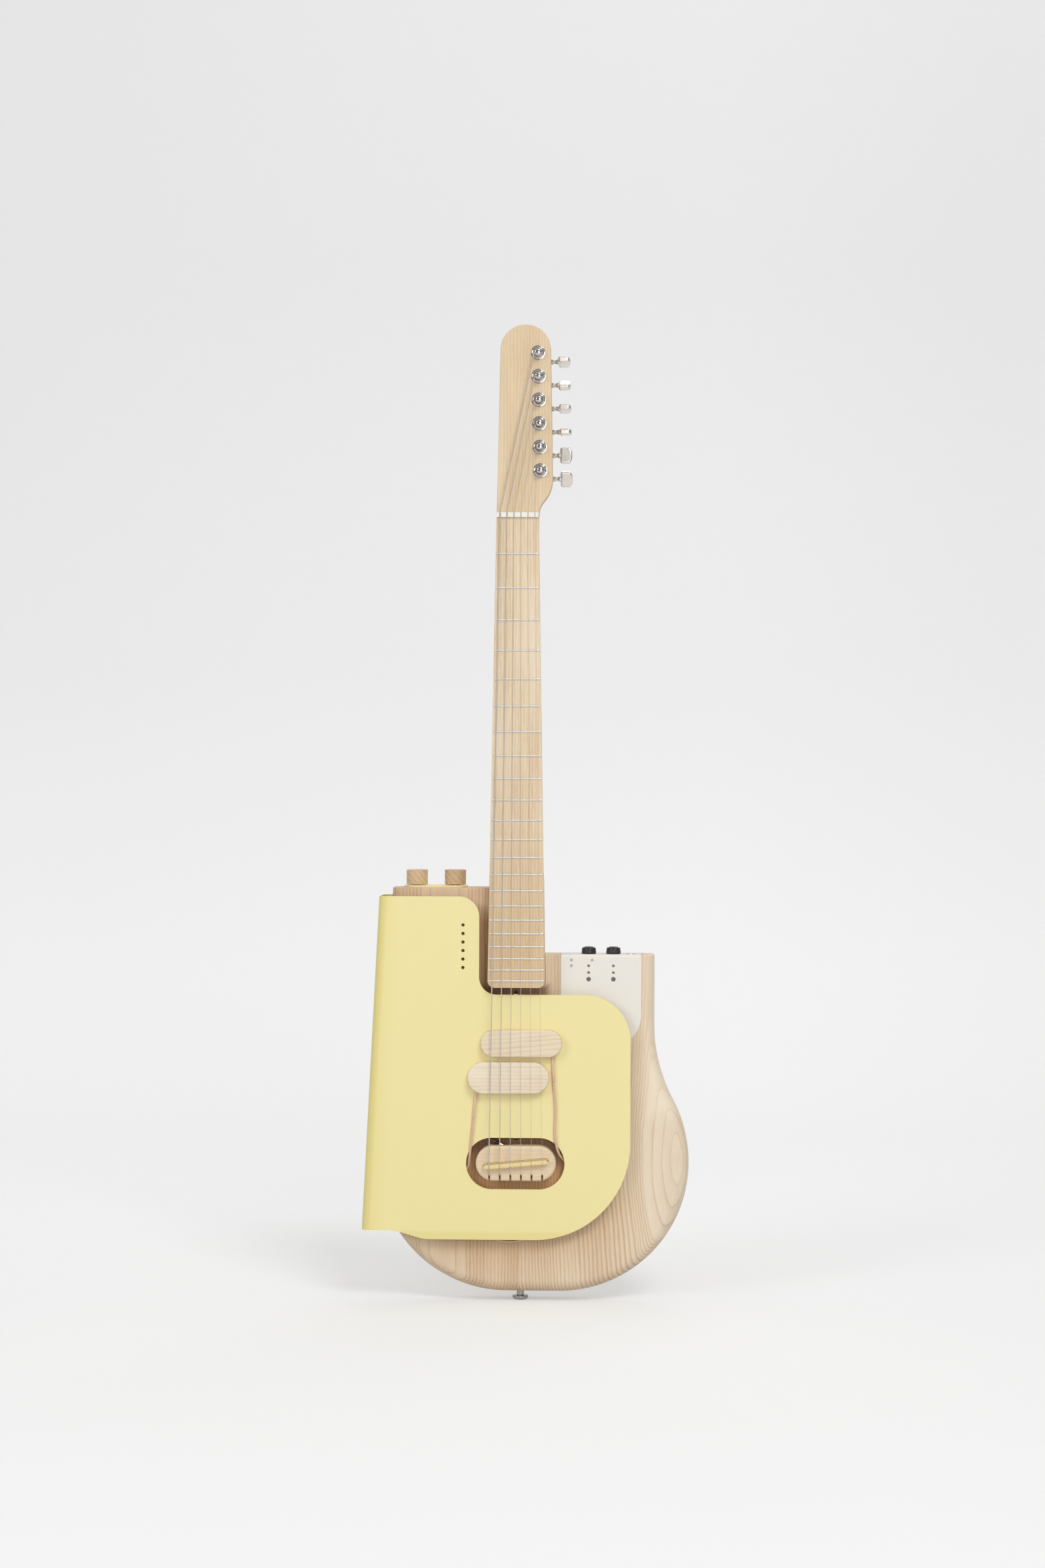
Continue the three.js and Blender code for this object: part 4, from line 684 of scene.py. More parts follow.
def timber(name, tones, eye, bands, squeeze, contrast, seed, along="z", waver=3.0, jitter=0.7,
           fibre=0.22, cloud=0.3, flat_zone=0.0, turn=(0, 0, 0), tint=None, calm_above=None):
    paint = Paint(name, WOOD_ROUGHNESS)
    index = "xyz".index(along)
    across = [a for a in "xyz" if a != along]
    place = paint.mapped((1, 1, 1), turn=turn)

    def grain(feature, detail=2.0, rough=0.55):
        width, length = feature
        sizes = [width] * 3
        sizes[index] = length
        return paint.noise(tuple(sizes), detail, rough, place, (seed,) * 3)

    rel = paint.mapped((1, 1, 1), tuple(-c for c in eye), source=place)
    lengthwise = paint.along(along, rel)
    below, above = squeeze
    lengthwise = paint.math("TANH", paint.math("DIVIDE", lengthwise, EYE_REACH))
    even = paint.math("MULTIPLY", lengthwise, EYE_REACH * (below + above) / 2)
    uneven = paint.math("MULTIPLY", paint.math("ABSOLUTE", lengthwise), EYE_REACH * (above - below) / 2)
    squares = [paint.math("POWER", paint.sum(even, uneven), 2.0)]
    for axis in across:
        offset = paint.along(axis, rel)
        if axis == "y":
            offset = paint.math("ADD", offset, HOLLOW)
        squares.append(paint.math("MULTIPLY", offset, offset))
    nearness = paint.math("MAXIMUM", paint.math("SUBTRACT", paint.sum(*squares), HOLLOW ** 2), 0.0)
    distance = paint.sum(paint.math("SQRT", nearness), paint.swing(grain(WAVES), waver),
                         paint.swing(grain(JITTERS), jitter))
    count = paint.sum(*[paint.spread(distance, 0.0, float(n), a, b) for a, b, n in bands])
    phase = paint.math("FRACT", count)
    profile = paint.ramp(phase, RIFT_SAWN_LINE)
    if flat_zone:
        zone = paint.spread(distance, 0.0, 1.0, flat_zone - ZONE_SOFT, flat_zone + ZONE_SOFT)
        profile = paint.mixed(zone, paint.ramp(phase, FLAT_SAWN_LINE), profile)
    each = paint.add("TexWhiteNoise", noise_dimensions="1D")
    paint.put(paint.math("FLOOR", paint.sum(count, seed)), each.inputs["W"])
    strength = paint.spread(each.outputs["Value"], FAINTEST_RING * contrast, contrast)
    if calm_above:
        calm = paint.spread(paint.along("z"), 1.0, CALM, calm_above - CALM_REACH, calm_above)
        strength = paint.math("MULTIPLY", strength, calm)
    fibres = grain(FIBRES, 3.0, 0.65)
    lines = paint.math("MULTIPLY", paint.math("SUBTRACT", profile, NEUTRAL), strength)
    total = paint.sum(NEUTRAL, lines, paint.swing(fibres, fibre), paint.swing(grain(CLOUDS), cloud))
    pale, base, dark = map(colour, tones)
    shown = paint.ramp(total, [(0.0, pale), (NEUTRAL, base), (1.0, dark)])
    if flat_zone:
        shown = paint.mixed(zone, shown, colour(DENSER), "MULTIPLY")
    if tint:
        shown = tint(paint, shown)
    paint.paint(shown, "Base Color")
    paint.gloss(total, WOOD_ROUGHNESS - 0.04, WOOD_ROUGHNESS + 0.1)
    relief = paint.sum(fibres, paint.math("MULTIPLY", profile, -0.6))
    paint.bumped(relief, 0.12, 0.12)
    return paint.material


# The wood's front is browner where the sheet shades it. Each tint has a box (x, z) to (x, z), how
# soft its borders are, and a colour.

SHEET_TINTS = [
    ((-60, 296), (-18, 396), 14, (214, 194, 172)),
    ((-38, 308), (28, 321), 5, (168, 142, 116)),
    ((-62, 108), (52, 176), 6, (250, 219, 180)),
    ((-62, 140), (52, 182), 22, (165, 154, 144)),
    ((-150, 408), (-20, 430), 6, (249, 241, 238)),
]
# The shade beneath the sheet's lower edge, from where it starts to where it ends, clear of the hip
belly = Sizes(tint=(242, 231, 216), start=-2, end=42, hip_start=-105, hip_end=-60, lowest=40)
# Painted highlight on the wood's right roundover, where the light from the right falls: its box, soft
# borders, share and paler colour
painted_highlight_edge = Sizes(low=(128, 190), high=(180, 430), soft=10, share=0.5, tint=(246, 231, 208))
# Heights or depths between which a tint comes in
TINT_DEPTH = (WOOD_FRONT + 1, WOOD_FRONT + 6)
LOWEST_FRETS = (395, 485)
LOWEST_FRETS_TINT = (243, 235, 222)
# Painted shade on the coat beside the fold: how wide it spreads, and how dark it is over that width
FOLD_WIDTH = 24
FOLD_SHADE_LEVELS = [(0.0, 0.25), (0.08, 0.8), (0.26, 1.0), (0.42, 0.35), (1.0, 0.0)]
FOLD_SHADE_TINT = (230, 215, 138)


def under_belly(paint):
    """1 beneath the sheet's lower edge and 0 a little further out, and nothing beside its right edge."""
    centre_x, centre_z = shell.right_x - shell.belly_corner, shell.bottom_z + shell.belly_corner
    beside = paint.math("MAXIMUM", paint.math("SUBTRACT", paint.along("x"), centre_x), 0.0)
    lower = paint.math("MAXIMUM", paint.math("SUBTRACT", centre_z, paint.along("z")), 0.0)
    squares = [paint.math("POWER", side, 2.0) for side in (beside, lower)]
    past = paint.math("SUBTRACT", paint.math("SQRT", paint.sum(*squares)), shell.belly_corner)
    near = paint.spread(past, 1.0, 0.0, belly.start, belly.end, smooth_ends=True)
    clear_of_hip = paint.spread(paint.along("x"), 0.0, 1.0, belly.hip_start, belly.hip_end)
    near = paint.math("MULTIPLY", near, clear_of_hip)
    return paint.math("MULTIPLY", near, paint.spread(lower, 0.0, 1.0, belly.lowest, shell.belly_corner))


def shaded_under_sheet(paint, shown):
    """The wood's front with these tints, and with a painted highlight along its right edge."""
    pale = paint.math("MULTIPLY", paint.soft_box(painted_highlight_edge.low, painted_highlight_edge.high, painted_highlight_edge.soft), painted_highlight_edge.share)
    shown = paint.mixed(pale, shown, colour(painted_highlight_edge.tint))
    at_front = paint.spread(paint.along("y"), 1.0, 0.0, *TINT_DEPTH)
    tints = [(paint.soft_box(low, high, soft), tint) for low, high, soft, tint in SHEET_TINTS]
    tints.append((under_belly(paint), belly.tint))
    for factor, tint in tints:
        shown = paint.mixed(paint.math("MULTIPLY", factor, at_front), shown, colour(tint), "MULTIPLY")
    return shown


def deeper_at_body(paint, shown):
    """The fretboard grows a little darker over its lowest frets."""
    near_body = paint.spread(paint.along("z"), 1.0, 0.0, *LOWEST_FRETS)
    return paint.mixed(near_body, shown, colour(LOWEST_FRETS_TINT), "MULTIPLY")


def painted_shade_at_folds(paint, shown):
    """Painted shade: the coat is a little darker round the fold and along the lower hem."""
    rise = paint.math("MULTIPLY", paint.math("SUBTRACT", paint.along("z"), shell.top_z), shell.fold_lean)
    from_fold = paint.math("SUBTRACT", paint.along("x"), paint.math("ADD", rise, FOLD_TOP_X))
    bend_line = paint.ramp(paint.spread(from_fold, 0.0, 1.0, 0, FOLD_WIDTH), FOLD_SHADE_LEVELS)
    hem = paint.spread(paint.along("z"), 0.7, 0.0, shell.hip_z - 3, shell.hip_z + 1)
    return paint.mixed(paint.math("MAXIMUM", bend_line, hem), shown, colour(FOLD_SHADE_TINT))


def coated(name, base, tint, grain=1.1, shaded=None):
    """Powder coat: an even colour that drifts a little, over a fine orange peel."""
    paint = Paint(name, COAT_ROUGHNESS)
    shown = paint.mixed(paint.noise(140, 2.0), colour(base), colour(tint))
    if shaded:
        shown = shaded(paint, shown)
    paint.paint(shown, "Base Color")
    skin = paint.noise(grain, 2.0, 0.6)
    paint.gloss(skin, COAT_ROUGHNESS - 0.06, COAT_ROUGHNESS + 0.08)
    paint.bumped(skin, 0.1, 0.08)
    return paint.material


def metal(name, base, tint, roughness, along=None):
    """Metal with faint wear: smudges in its roughness and hairlines along one axis."""
    paint = Paint(name, roughness, 1.0)
    sizes = tuple(HAIR_LENGTH if axis == along else 1.0 for axis in "xyz")
    hairs = paint.noise(sizes, 3.0, 0.65)
    smudge = paint.noise(8, 3.0)
    paint.paint(paint.mixed(smudge, colour(base), colour(tint)), "Base Color")
    paint.gloss(smudge, roughness * 0.75, roughness * 1.3)
    paint.bumped(hairs, 0.03, 0.05)
    return paint.material


def moulded(name, base, tint, roughness=0.42, grain=0.6):
    """Moulded plastic with a fine texture and slightly uneven gloss."""
    paint = Paint(name, roughness)
    drift = paint.noise(16, 2.0)
    paint.paint(paint.mixed(drift, colour(base), colour(tint)), "Base Color")
    paint.gloss(drift, roughness - 0.06, roughness + 0.08)
    paint.bumped(paint.noise(grain, 2.0), 0.12, 0.05)
    return paint.material


def wound(name, base, tint):
    """A string's fine winding, seen as ridges along it."""
    paint = Paint(name, 0.32, 1.0)
    wave = paint.add("TexWave", wave_type="BANDS", bands_direction="Z")
    wave.inputs["Scale"].default_value = 0.8
    wave.inputs["Distortion"].default_value = 0.2
    paint.put(paint.place, wave.inputs["Vector"])
    shaded = paint.math("MULTIPLY", wave.outputs["Fac"], paint.noise(11, 3.0))
    paint.paint(paint.mixed(shaded, colour(base), colour(tint)), "Base Color")
    paint.bumped(wave.outputs["Fac"], 0.5, 0.06)
    return paint.material


DENSER = (250, 245, 239)
ASH = ((238, 224, 202), (229, 211, 185), (194, 157, 120))
ROSY_ASH = ((234, 216, 191), (221, 198, 169), (186, 149, 113))
NECK_MAPLE = ((229, 208, 175), (219, 195, 159), (198, 165, 124))
BOARD_MAPLE = ((236, 218, 190), (228, 206, 174), (200, 167, 127))
PALE_MAPLE = ((243, 231, 210), (236, 220, 195), (207, 176, 142))
BURL = ((216, 188, 150), (200, 170, 132), (166, 134, 98))
TAN_MAPLE = ((237, 219, 190), (227, 205, 173), (203, 175, 140))
WARM_MAPLE = ((240, 225, 200), (232, 213, 184), (202, 168, 130))

ash_right = timber("ash_right", ASH, (162, WOOD_FRONT, 145),
                   [(0, 38, 4), (38, 52, 6), (52, 110, 13), (110, 400, 88)], (0.38, 0.29),
                   contrast=0.6, seed=3.0, flat_zone=38, tint=shaded_under_sheet, calm_above=270)
ash_left = timber("ash_left", ROSY_ASH, (-78, WOOD_FRONT, 210), [(0, 26, 3), (26, 400, 112)],
                  (0.12, 0.1), contrast=0.55, seed=11.0, flat_zone=24, tint=shaded_under_sheet)
neck_maple = timber("neck_maple", NECK_MAPLE, (-70, NECK_FRONT, 700), [(0, 400, 125)], (0.03, 0.03),
                    contrast=0.36, seed=5.0, jitter=0.9, fibre=0.3, cloud=0.6)
board_maple = timber("board_maple", BOARD_MAPLE, (60, BOARD_TOP, 560), [(0, 400, 135)], (0.03, 0.03),
                     contrast=0.42, seed=8.0, jitter=1.0, fibre=0.4, cloud=0.6, tint=deeper_at_body)
pale_maple = timber("pale_maple", PALE_MAPLE, (40, PICKUP_FRONT, 196), [(0, 300, 75)], (0.06, 0.1),
                    contrast=0.28, seed=2.0, along="x", waver=4.5, fibre=0.25, cloud=0.35)
knob_maple = timber("knob_maple", BURL, (-150, -12, 360), [(0, 400, 90)], (0.1, 0.1),
                    contrast=0.4, seed=7.0, waver=4.0, jitter=0.9, fibre=0.45, cloud=0.8,
                    turn=(0, 0.75, 0))
warm_maple = timber("warm_maple", WARM_MAPLE, (60, PICKUP_FRONT, 150), [(0, 300, 66)], (0.06, 0.1),
                    contrast=0.34, seed=6.0, along="x", waver=5.0, jitter=0.8, fibre=0.25, cloud=0.4,
                    turn=(0, 0.07, 0))
tan_maple = timber("tan_maple", TAN_MAPLE, (40, TAIL_FRONT, 60), [(0, 300, 75)], (0.06, 0.1),
                   contrast=0.2, seed=4.0, along="x", jitter=0.6, fibre=0.25)
# The yellow coat has painted shade round its fold and along its lower hem
yellow = coated("yellow_coat", (241, 228, 166), (239, 226, 163), shaded=painted_shade_at_folds)
white = coated("white_coat", (235, 230, 221), (233, 228, 219), grain=0.9)
black_plastic = moulded("black_plastic", (36, 33, 33), (48, 44, 44))
grey_plastic = moulded("grey_plastic", (98, 94, 90), (108, 103, 98))
lens_brown = moulded("lens_brown", (104, 95, 80), (112, 104, 92), roughness=0.3)
lens_pale = moulded("lens_pale", (206, 201, 192), (196, 190, 180), roughness=0.3)
ring_grey = moulded("ring_grey", (168, 162, 154), (178, 172, 164), roughness=0.4)
brass = metal("brass", (242, 224, 174), (232, 208, 148), 0.26, along="x")
# A darker brass for the string anchor
dark_brass = metal("dark_brass", (132, 106, 72), (104, 82, 56), 0.45, along="x")
chrome = metal("chrome", (206, 202, 198), (190, 186, 182), 0.09)
steel = metal("steel", (176, 172, 168), (156, 152, 148), 0.34)
dark_steel = metal("dark_steel", (62, 56, 54), (48, 42, 40), 0.4)
nickel = metal("nickel", (236, 230, 223), (221, 214, 207), 0.28)
fret_nickel = metal("fret_nickel", (226, 223, 217), (212, 208, 202), 0.34, along="x")
string_plain = metal("string_plain", (206, 198, 190), (190, 182, 174), 0.42, along="z")
string_wound = wound("string_wound", (210, 203, 195), (164, 156, 148))
ivory = moulded("ivory", (240, 237, 229), (234, 229, 218), roughness=0.38, grain=2.0)
cable_skin = moulded("cable_skin", (222, 186, 162), (214, 176, 152), roughness=0.5)
relief_brown = moulded("relief_brown", (112, 92, 74), (98, 80, 64), roughness=0.55)
boot_skin = moulded("boot_skin", (226, 194, 170), (218, 184, 160), roughness=0.55)
board_green = moulded("board_green", (40, 92, 62), (58, 116, 80), roughness=0.4, grain=3.5)

# Camera

CAMERA = Sizes(sensor=36.0, lens=65.816, place=(0.10263, -2.9219, 0.525), pan=math.radians(2),
               roll=0.0031)
camera_data = bpy.data.cameras.new("photo_camera")
camera_data.sensor_fit = "VERTICAL"
camera_data.sensor_height = CAMERA.sensor
camera_data.lens = CAMERA.lens
camera = new_object(camera_data, "photo_camera")
camera.matrix_world = (
    Matrix.Translation(CAMERA.place)
    @ Matrix.Rotation(CAMERA.pan, 4, "Z")
    @ Matrix.Rotation(QUARTER, 4, "X")
    @ Matrix.Rotation(CAMERA.roll, 4, "Z")
)
bpy.context.scene.camera = camera

# Pickup cables, which run from each boot over the shell, through the cutout and under the shell to
# the plug. The neck pickup's slack hangs in a loop that just shows below the shell.

PLUG_AXIS = Vector((math.cos(plug.tilt), 0, math.sin(plug.tilt)))
PLUG_TIP = Vector((plug.x, WOOD_FRONT - plug.rise, plug.z))
CABLE_ROUTES = {
    "neck_pickup": [
        (34.9, BOOT_Y, 214), (35.6, BOOT_Y, 204), (35.9, BOOT_Y, 190), (35.4, BOOT_Y, 176),
        (36, BOOT_Y, 167), (37.2, -33.4, 160), (38.6, -32, 155), (40.4, -29.6, 150.5),
        (44.6, -26.4, 145), (51, -24.6, 134), (54, -24, 116), (44, -23.6, 92), (22, -23.4, 72),
        (4, -23.4, 64.2), (-11.5, -23.4, 62), (-26, -23.4, 65), (-50, -23.4, 78), (-74, -23.4, 103),
        (-80, -23.4, 132), (-76, -23.4, 156), (-64.5, -23.4, 171.6), (-51, -23.4, 176),
    ],
    "bridge_pickup": [
        (-47.4, BOOT_Y, 180), (-48.2, BOOT_Y, 172), (-48.9, BOOT_Y, 165), (-49.6, -34.3, 158),
        (-50.2, -33, 152.4), (-51.1, -29.6, 145.4), (-52.4, -26.8, 138.6), (-56.4, -26, 132.6),
        (-62.5, -26, 133.6), (-65.6, -26, 141.6), (-64.4, -26, 152), (-59, -25.4, 162),
        (-50, -24.2, 169.4),
    ],
}
PATH_STEPS = 8


def along_plug(distance):
    return PLUG_TIP - PLUG_AXIS * distance


def boot_end(unit):
    start_z = unit.z - unit.height / 2
    return Vector((unit.boot_x + pickup.boot_length * unit.lean, BOOT_Y, start_z - pickup.boot_length))


def smooth_path(points):
    """A centripetal Catmull-Rom curve through the points."""
    points = [Vector(p) for p in points]
    ends = [points[0] * 2 - points[1], *points, points[-1] * 2 - points[-2]]
    path = []
    for p0, p1, p2, p3 in zip(ends, ends[1:], ends[2:], ends[3:]):
        d0, d1, d2 = ((b - a).length ** 0.5 for a, b in ((p0, p1), (p1, p2), (p2, p3)))
        t1 = ((p1 - p0) / d0 - (p2 - p0) / (d0 + d1) + (p2 - p1) / d1) * d1
        t2 = ((p2 - p1) / d1 - (p3 - p1) / (d1 + d2) + (p3 - p2) / d2) * d1
        for k in range(PATH_STEPS):
            t = k / PATH_STEPS
            c2 = -3 * p1 + 3 * p2 - 2 * t1 - t2
            c3 = 2 * p1 - 2 * p2 + t1 + t2
            path.append(p1 + t1 * t + c2 * t ** 2 + c3 * t ** 3)
    path.append(points[-1])
    return path


def cable_path(unit):
    end = boot_end(unit)
    away = Vector((unit.lean, 0, -1)).normalized()
    sign = 1 if unit is neck_pickup else -1
    side = Vector((-PLUG_AXIS.z, 0, PLUG_AXIS.x)) * sign * (cable.radius + SEAT)
    finish = along_plug(plug.length + SEAT) + side
    lead = along_plug(plug.length + cable.segment) + side
    start = [end + away * SEAT, end + away * cable.segment]
    return smooth_path([*start, *CABLE_ROUTES[unit.name], lead, finish])


def pickup_cable(unit):
    path = cable_path(unit)
    tube = piece(f"{unit.name}_lead", swept(path, cable.radius, 16), cable_skin,
                 replaces=(f"{unit.name}_cable",), blended=True)
    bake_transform(tube)


for unit in (neck_pickup, bridge_pickup):
    pickup_cable(unit)

# Wood body: two boards glued edge to edge at X = 0, the left one set higher


def body_outline(top_z):
    left = (bout.centre_x - bout.half_flat, BOUT_Z)
    right = (bout.centre_x + bout.half_flat, BOUT_Z)
    flare_x = body_edge.right_x + bout.flare_radius
    reach = bout.radius + bout.flare_radius
    flare = (flare_x, right[1] + math.sqrt(reach ** 2 - (flare_x - right[0]) ** 2))
    meeting = math.atan2(flare[1] - right[1], flare[0] - right[0])
    return [
        (wood_left_x(top_z), top_z),
        *arc(left, bout.radius, HALF_TURN - LEAN_ANGLE, 3 * QUARTER),
        *arc(right, bout.radius, -QUARTER, meeting),
        *arc(flare, bout.flare_radius, meeting + HALF_TURN, HALF_TURN)[1:],
        (body_edge.right_x, top_z),
    ]


def trimmed(solid, point, outward, soft=0.0):
    """What lies inside a plane, closed there, with the cut's edges softened."""
    bm = bmesh.new()
    made = [bm.verts.new(p) for p in solid[0]]
    for face in solid[1]:
        bm.faces.new([made[i] for i in face])
    bmesh.ops.recalc_face_normals(bm, faces=bm.faces[:])
    everything = bm.verts[:] + bm.edges[:] + bm.faces[:]
    cut = bmesh.ops.bisect_plane(bm, geom=everything, plane_co=point, plane_no=outward,
                                 clear_outer=True, dist=1e-5)
    edges = [e for e in cut["geom_cut"] if isinstance(e, bmesh.types.BMEdge)]
    bmesh.ops.edgeloop_fill(bm, edges=edges)
    if soft:
        bmesh.ops.bevel(bm, geom=edges, offset=soft, segments=3, profile=0.5, affect="EDGES",
                        clamp_overlap=True)
    bmesh.ops.recalc_face_normals(bm, faces=bm.faces[:])
    bm.verts.ensure_lookup_table()
    bm.verts.index_update()
    result = [tuple(v.co) for v in bm.verts], [tuple(v.index for v in f.verts) for f in bm.faces]
    bm.free()
    return result


def board_half(z):
    return part_way(board.half_at_nut, board.half_at_end, (NUT_Z - z) / (NUT_Z - board.end_z))


def board_outline(top_z, margin=0.0):
    low = board.end_z - margin
    return rounded([
        (NECK_X - board_half(low) - margin, low, board.corner),
        (NECK_X + board_half(low) + margin, low, board.corner),
        (NECK_X + board_half(top_z) + margin, top_z),
        (NECK_X - board_half(top_z) - margin, top_z),
    ])


def body_boards():
    blank = plate(body_outline(LEFT_TOP_Z + body_edge.roundover + OVERRUN), WOOD_FRONT, WOOD_BACK,
                  edge=body_edge.roundover, steps=9)
    left = trimmed(trimmed(blank, (0, 0, 0), (1, 0, 0)), (0, 0, LEFT_TOP_Z), (0, 0, 1),
                   body_edge.top_soft)
    right = trimmed(trimmed(blank, (0, 0, 0), (-1, 0, 0)), (0, 0, RIGHT_TOP_Z), (0, 0, 1),
                    body_edge.top_soft)
    before, high = WOOD_FRONT - OVERRUN, RIGHT_TOP_Z + OVERRUN
    pocket = plate(board_outline(LEFT_TOP_Z + OVERRUN, SEAT), before, HEEL_BACK)
    screws = [rod("y", x, z, neck_plate.screw + neck_plate.clearance, before, WOOD_BACK + OVERRUN, 16)
              for x, z in PLATE_SCREWS]
    pin = rod("z", 0, 0, end_pin.screw_radius + SEAT, BODY_BOTTOM - OVERRUN,
              BODY_BOTTOM + end_pin.screw_length + SEAT, 16)
    pots = block(*around(KNOB_ROW_X, pot_room.length), *around(0, pot_room.width),
                 LEFT_TOP_Z - pot_room.depth, LEFT_TOP_Z + OVERRUN)
    piece("left_board", left, ash_left, replaces=("body_left_half",),
          cuts=([pocket], [pots, pin, *screws]))
    room = block(panel.left_x + electronics.rim, panel.right_x - electronics.rim, before,
                 WOOD_FRONT + electronics.depth, RIGHT_TOP_Z - electronics.height, high)
    inside = panel.bend - panel.thickness
    under = PANEL_TOP - panel.thickness
    across = (panel.left_x - SEAT, panel.right_x + SEAT)
    rebate = block(*across, before, WOOD_FRONT + panel.depth + SEAT, under, high)
    relief = block(*across, before, WOOD_FRONT + inside, under - inside, high)
    piece("right_board", right, ash_right, replaces=("body_right_half",),
          cuts=([pocket], [room], [rebate], [relief], [pin, *screws]))


body_boards()

# Neck: headstock, shaft and heel in one piece

RING_FACETS = 32
FOOT_STEPS = 8
BLEND_STEPS = 10


def smooth(share):
    share = min(1.0, max(0.0, share))
    return share * share * (3 - 2 * share)


def neck_ring(z, half, depth, power):
    """A section of the neck: flat in front, straight at its sides and rounded behind."""
    edge = NECK_FRONT + shaft.side_flat
    ring = [(NECK_X + half, NECK_FRONT, z)]
    for i in range(RING_FACETS + 1):
        angle = math.pi * i / RING_FACETS
        cosine, sine = math.cos(angle), math.sin(angle)
        across = math.copysign(abs(cosine) ** (2 / power), cosine)
        back = abs(sine) ** (2 / power)
        ring.append((NECK_X + half * across, edge + (depth - shaft.side_flat) * back, z))
    ring.append((NECK_X - half, NECK_FRONT, z))
    return ring


def power_between(square_share):
    """The roundness of a section that is partly on its way to the squared one."""
    return 2 / part_way(2 / shaft.roundness, 2 / shaft.squareness, square_share)


def neck_part(low, length, steps, depth, power):
    """Rings above a height, with the depth and the roundness that belong to each share of the way."""
    rings = []
    for k in range(1, steps + 1):
        share = k / steps
        z = low + length * share
        rings.append(neck_ring(z, board_half(z), depth(share), power(share)))
    return rings


def neck_shaft():
    heel_depth = HEEL_BACK - NECK_FRONT
    low, high, top = heel.top_z + heel.blend, NUT_Z - heel.blend, NUT_Z + nut.thickness
    rings = []
    for k in range(FOOT_STEPS + 1):
        angle = QUARTER * k / FOOT_STEPS
        z = board.end_z + board.corner * (1 - math.cos(angle))
        shrink = board.corner * (1 - math.sin(angle))
        rings.append(neck_ring(z, board_half(z) - shrink, heel_depth, shaft.squareness))
    rings.append(neck_ring(heel.top_z, board_half(heel.top_z), heel_depth, shaft.squareness))
    rings += neck_part(heel.top_z, heel.blend, BLEND_STEPS,
                       lambda share: part_way(heel_depth, shaft.at_body, smooth(share)),
                       lambda share: power_between(1 - smooth(share)))
    rings += neck_part(low, high - low, FOOT_STEPS,
                       lambda share: part_way(shaft.at_body, shaft.at_nut, share),
                       lambda share: shaft.roundness)
    rings += neck_part(high, heel.blend, BLEND_STEPS,
                       lambda share: part_way(shaft.at_nut, head.thickness, smooth(share)),
                       lambda share: power_between(smooth(share)))
    rings.append(neck_ring(top, board_half(top), head.thickness - head.tuck, shaft.squareness))
    return lofted(rings)


def bezier(a, b, c, d, steps):
    points = []
    for k in range(steps + 1):
        t = k / steps
        weights = ((1 - t) ** 3, 3 * t * (1 - t) ** 2, 3 * t * t * (1 - t), t ** 3)
        points.append(tuple(sum(w * p[i] for w, p in zip(weights, (a, b, c, d))) for i in (0, 1)))
    return points


def head_outline():
    shoulder = (NECK_X + head.shoulder_offset, NUT_Z + head.shoulder_rise)
    throat = (NECK_X + head.throat_offset, NUT_Z + head.throat_rise)
    curve = bezier(throat, (throat[0], throat[1] + head.throat_pull),
                   (shoulder[0], shoulder[1] - head.shoulder_pull), shoulder, 20)
    end = (NECK_X + head.end_offset, NUT_Z + head.reach - head.end_radius)
    return [
        (NECK_X - board.half_at_nut, NUT_Z),
        (NECK_X + board.half_at_nut, NUT_Z),
        *curve,
        *arc(end, head.end_radius, 0, HALF_TURN, FINE_CHORD),
    ]


def neck():
    headstock = plate(head_outline(), NECK_FRONT, HEAD_BACK, edge=head.edge)
    holes = [rod("y", x, z, tuner.hole, NECK_FRONT - OVERRUN, HEAD_BACK + OVERRUN) for x, z in TUNER_POSTS]
    holes += [rod("y", x, z, neck_plate.screw + neck_plate.clearance, HEEL_BACK - neck_plate.reach - SEAT,
                  HEEL_BACK + OVERRUN, 16) for x, z in PLATE_SCREWS]
    piece("neck_wood", neck_shaft(), neck_maple, replaces=("neck",), joins=([headstock],),
          cuts=(holes,))


neck()

# Fretboard, its frets and the nut


def fret_z(i):
    return NUT_Z - SCALE_LENGTH * (1 - 2 ** (-(i + 1) / 12))


# How far in a fret's end stands, in bevels, and how high it is there
FRET_END = [(0.0, 0.12), (0.35, 0.7), (1.0, 0.95), (2.2, 1.0)]
FRET_FACETS = 12


def fret_wire(z):
    reach = board_half(z) - fret.inset
    stations = [(-reach + fret.bevel * bevels, rise) for bevels, rise in FRET_END]
    stations += [(-x, rise) for x, rise in reversed(stations)]
    rings = []
    for x, rise in stations:
        ring = [(NECK_X + x, BOARD_TOP + fret.sunk, side) for side in around(z, fret.width)]
        for k in range(FRET_FACETS + 1):
            angle = math.pi * k / FRET_FACETS
            crown = part_way(fret.crown_foot, 1, math.sin(angle) ** fret.crown_power)
            ring.append((NECK_X + x, BOARD_TOP - fret.height * rise * crown,
                         z + fret.width / 2 * math.cos(angle)))
        rings.append(ring)
    return lofted(rings)


def fret_slot(z):
    return block(NECK_X - fret.slot_reach, NECK_X + fret.slot_reach, BOARD_TOP - SMALL_OVERRUN,
                 FRET_SLOT_BACK, *around(z, fret.slot))


def fret_tang(z):
    return block(*around(NECK_X, 2 * (board_half(z) - fret.tang_end)), BOARD_TOP + fret.tang_top,
                 FRET_SLOT_BACK - fret.tang_gap, *around(z, fret.tang))


FRET_HEIGHTS = [fret_z(i) for i in range(FRET_COUNT)]
piece("fretboard_wood", plate(board_outline(NUT_Z), BOARD_TOP, NECK_FRONT, edge=board.edge, far_edge=0.0),
      board_maple, replaces=("fretboard",), cuts=([fret_slot(z) for z in FRET_HEIGHTS],))
piece("fret_wires", [fret_wire(z) for z in FRET_HEIGHTS], fret_nickel)
piece("fret_tangs", [fret_tang(z) for z in FRET_HEIGHTS], fret_nickel)


def string_share(i):
    return i / (len(GAUGES) - 1) - 0.5


def string_x_at_nut(i):
    return NECK_X + NUT_SPREAD * string_share(i)


def string_x_at_saddle(i):
    return NECK_X + SADDLE_SPREAD * string_share(i)


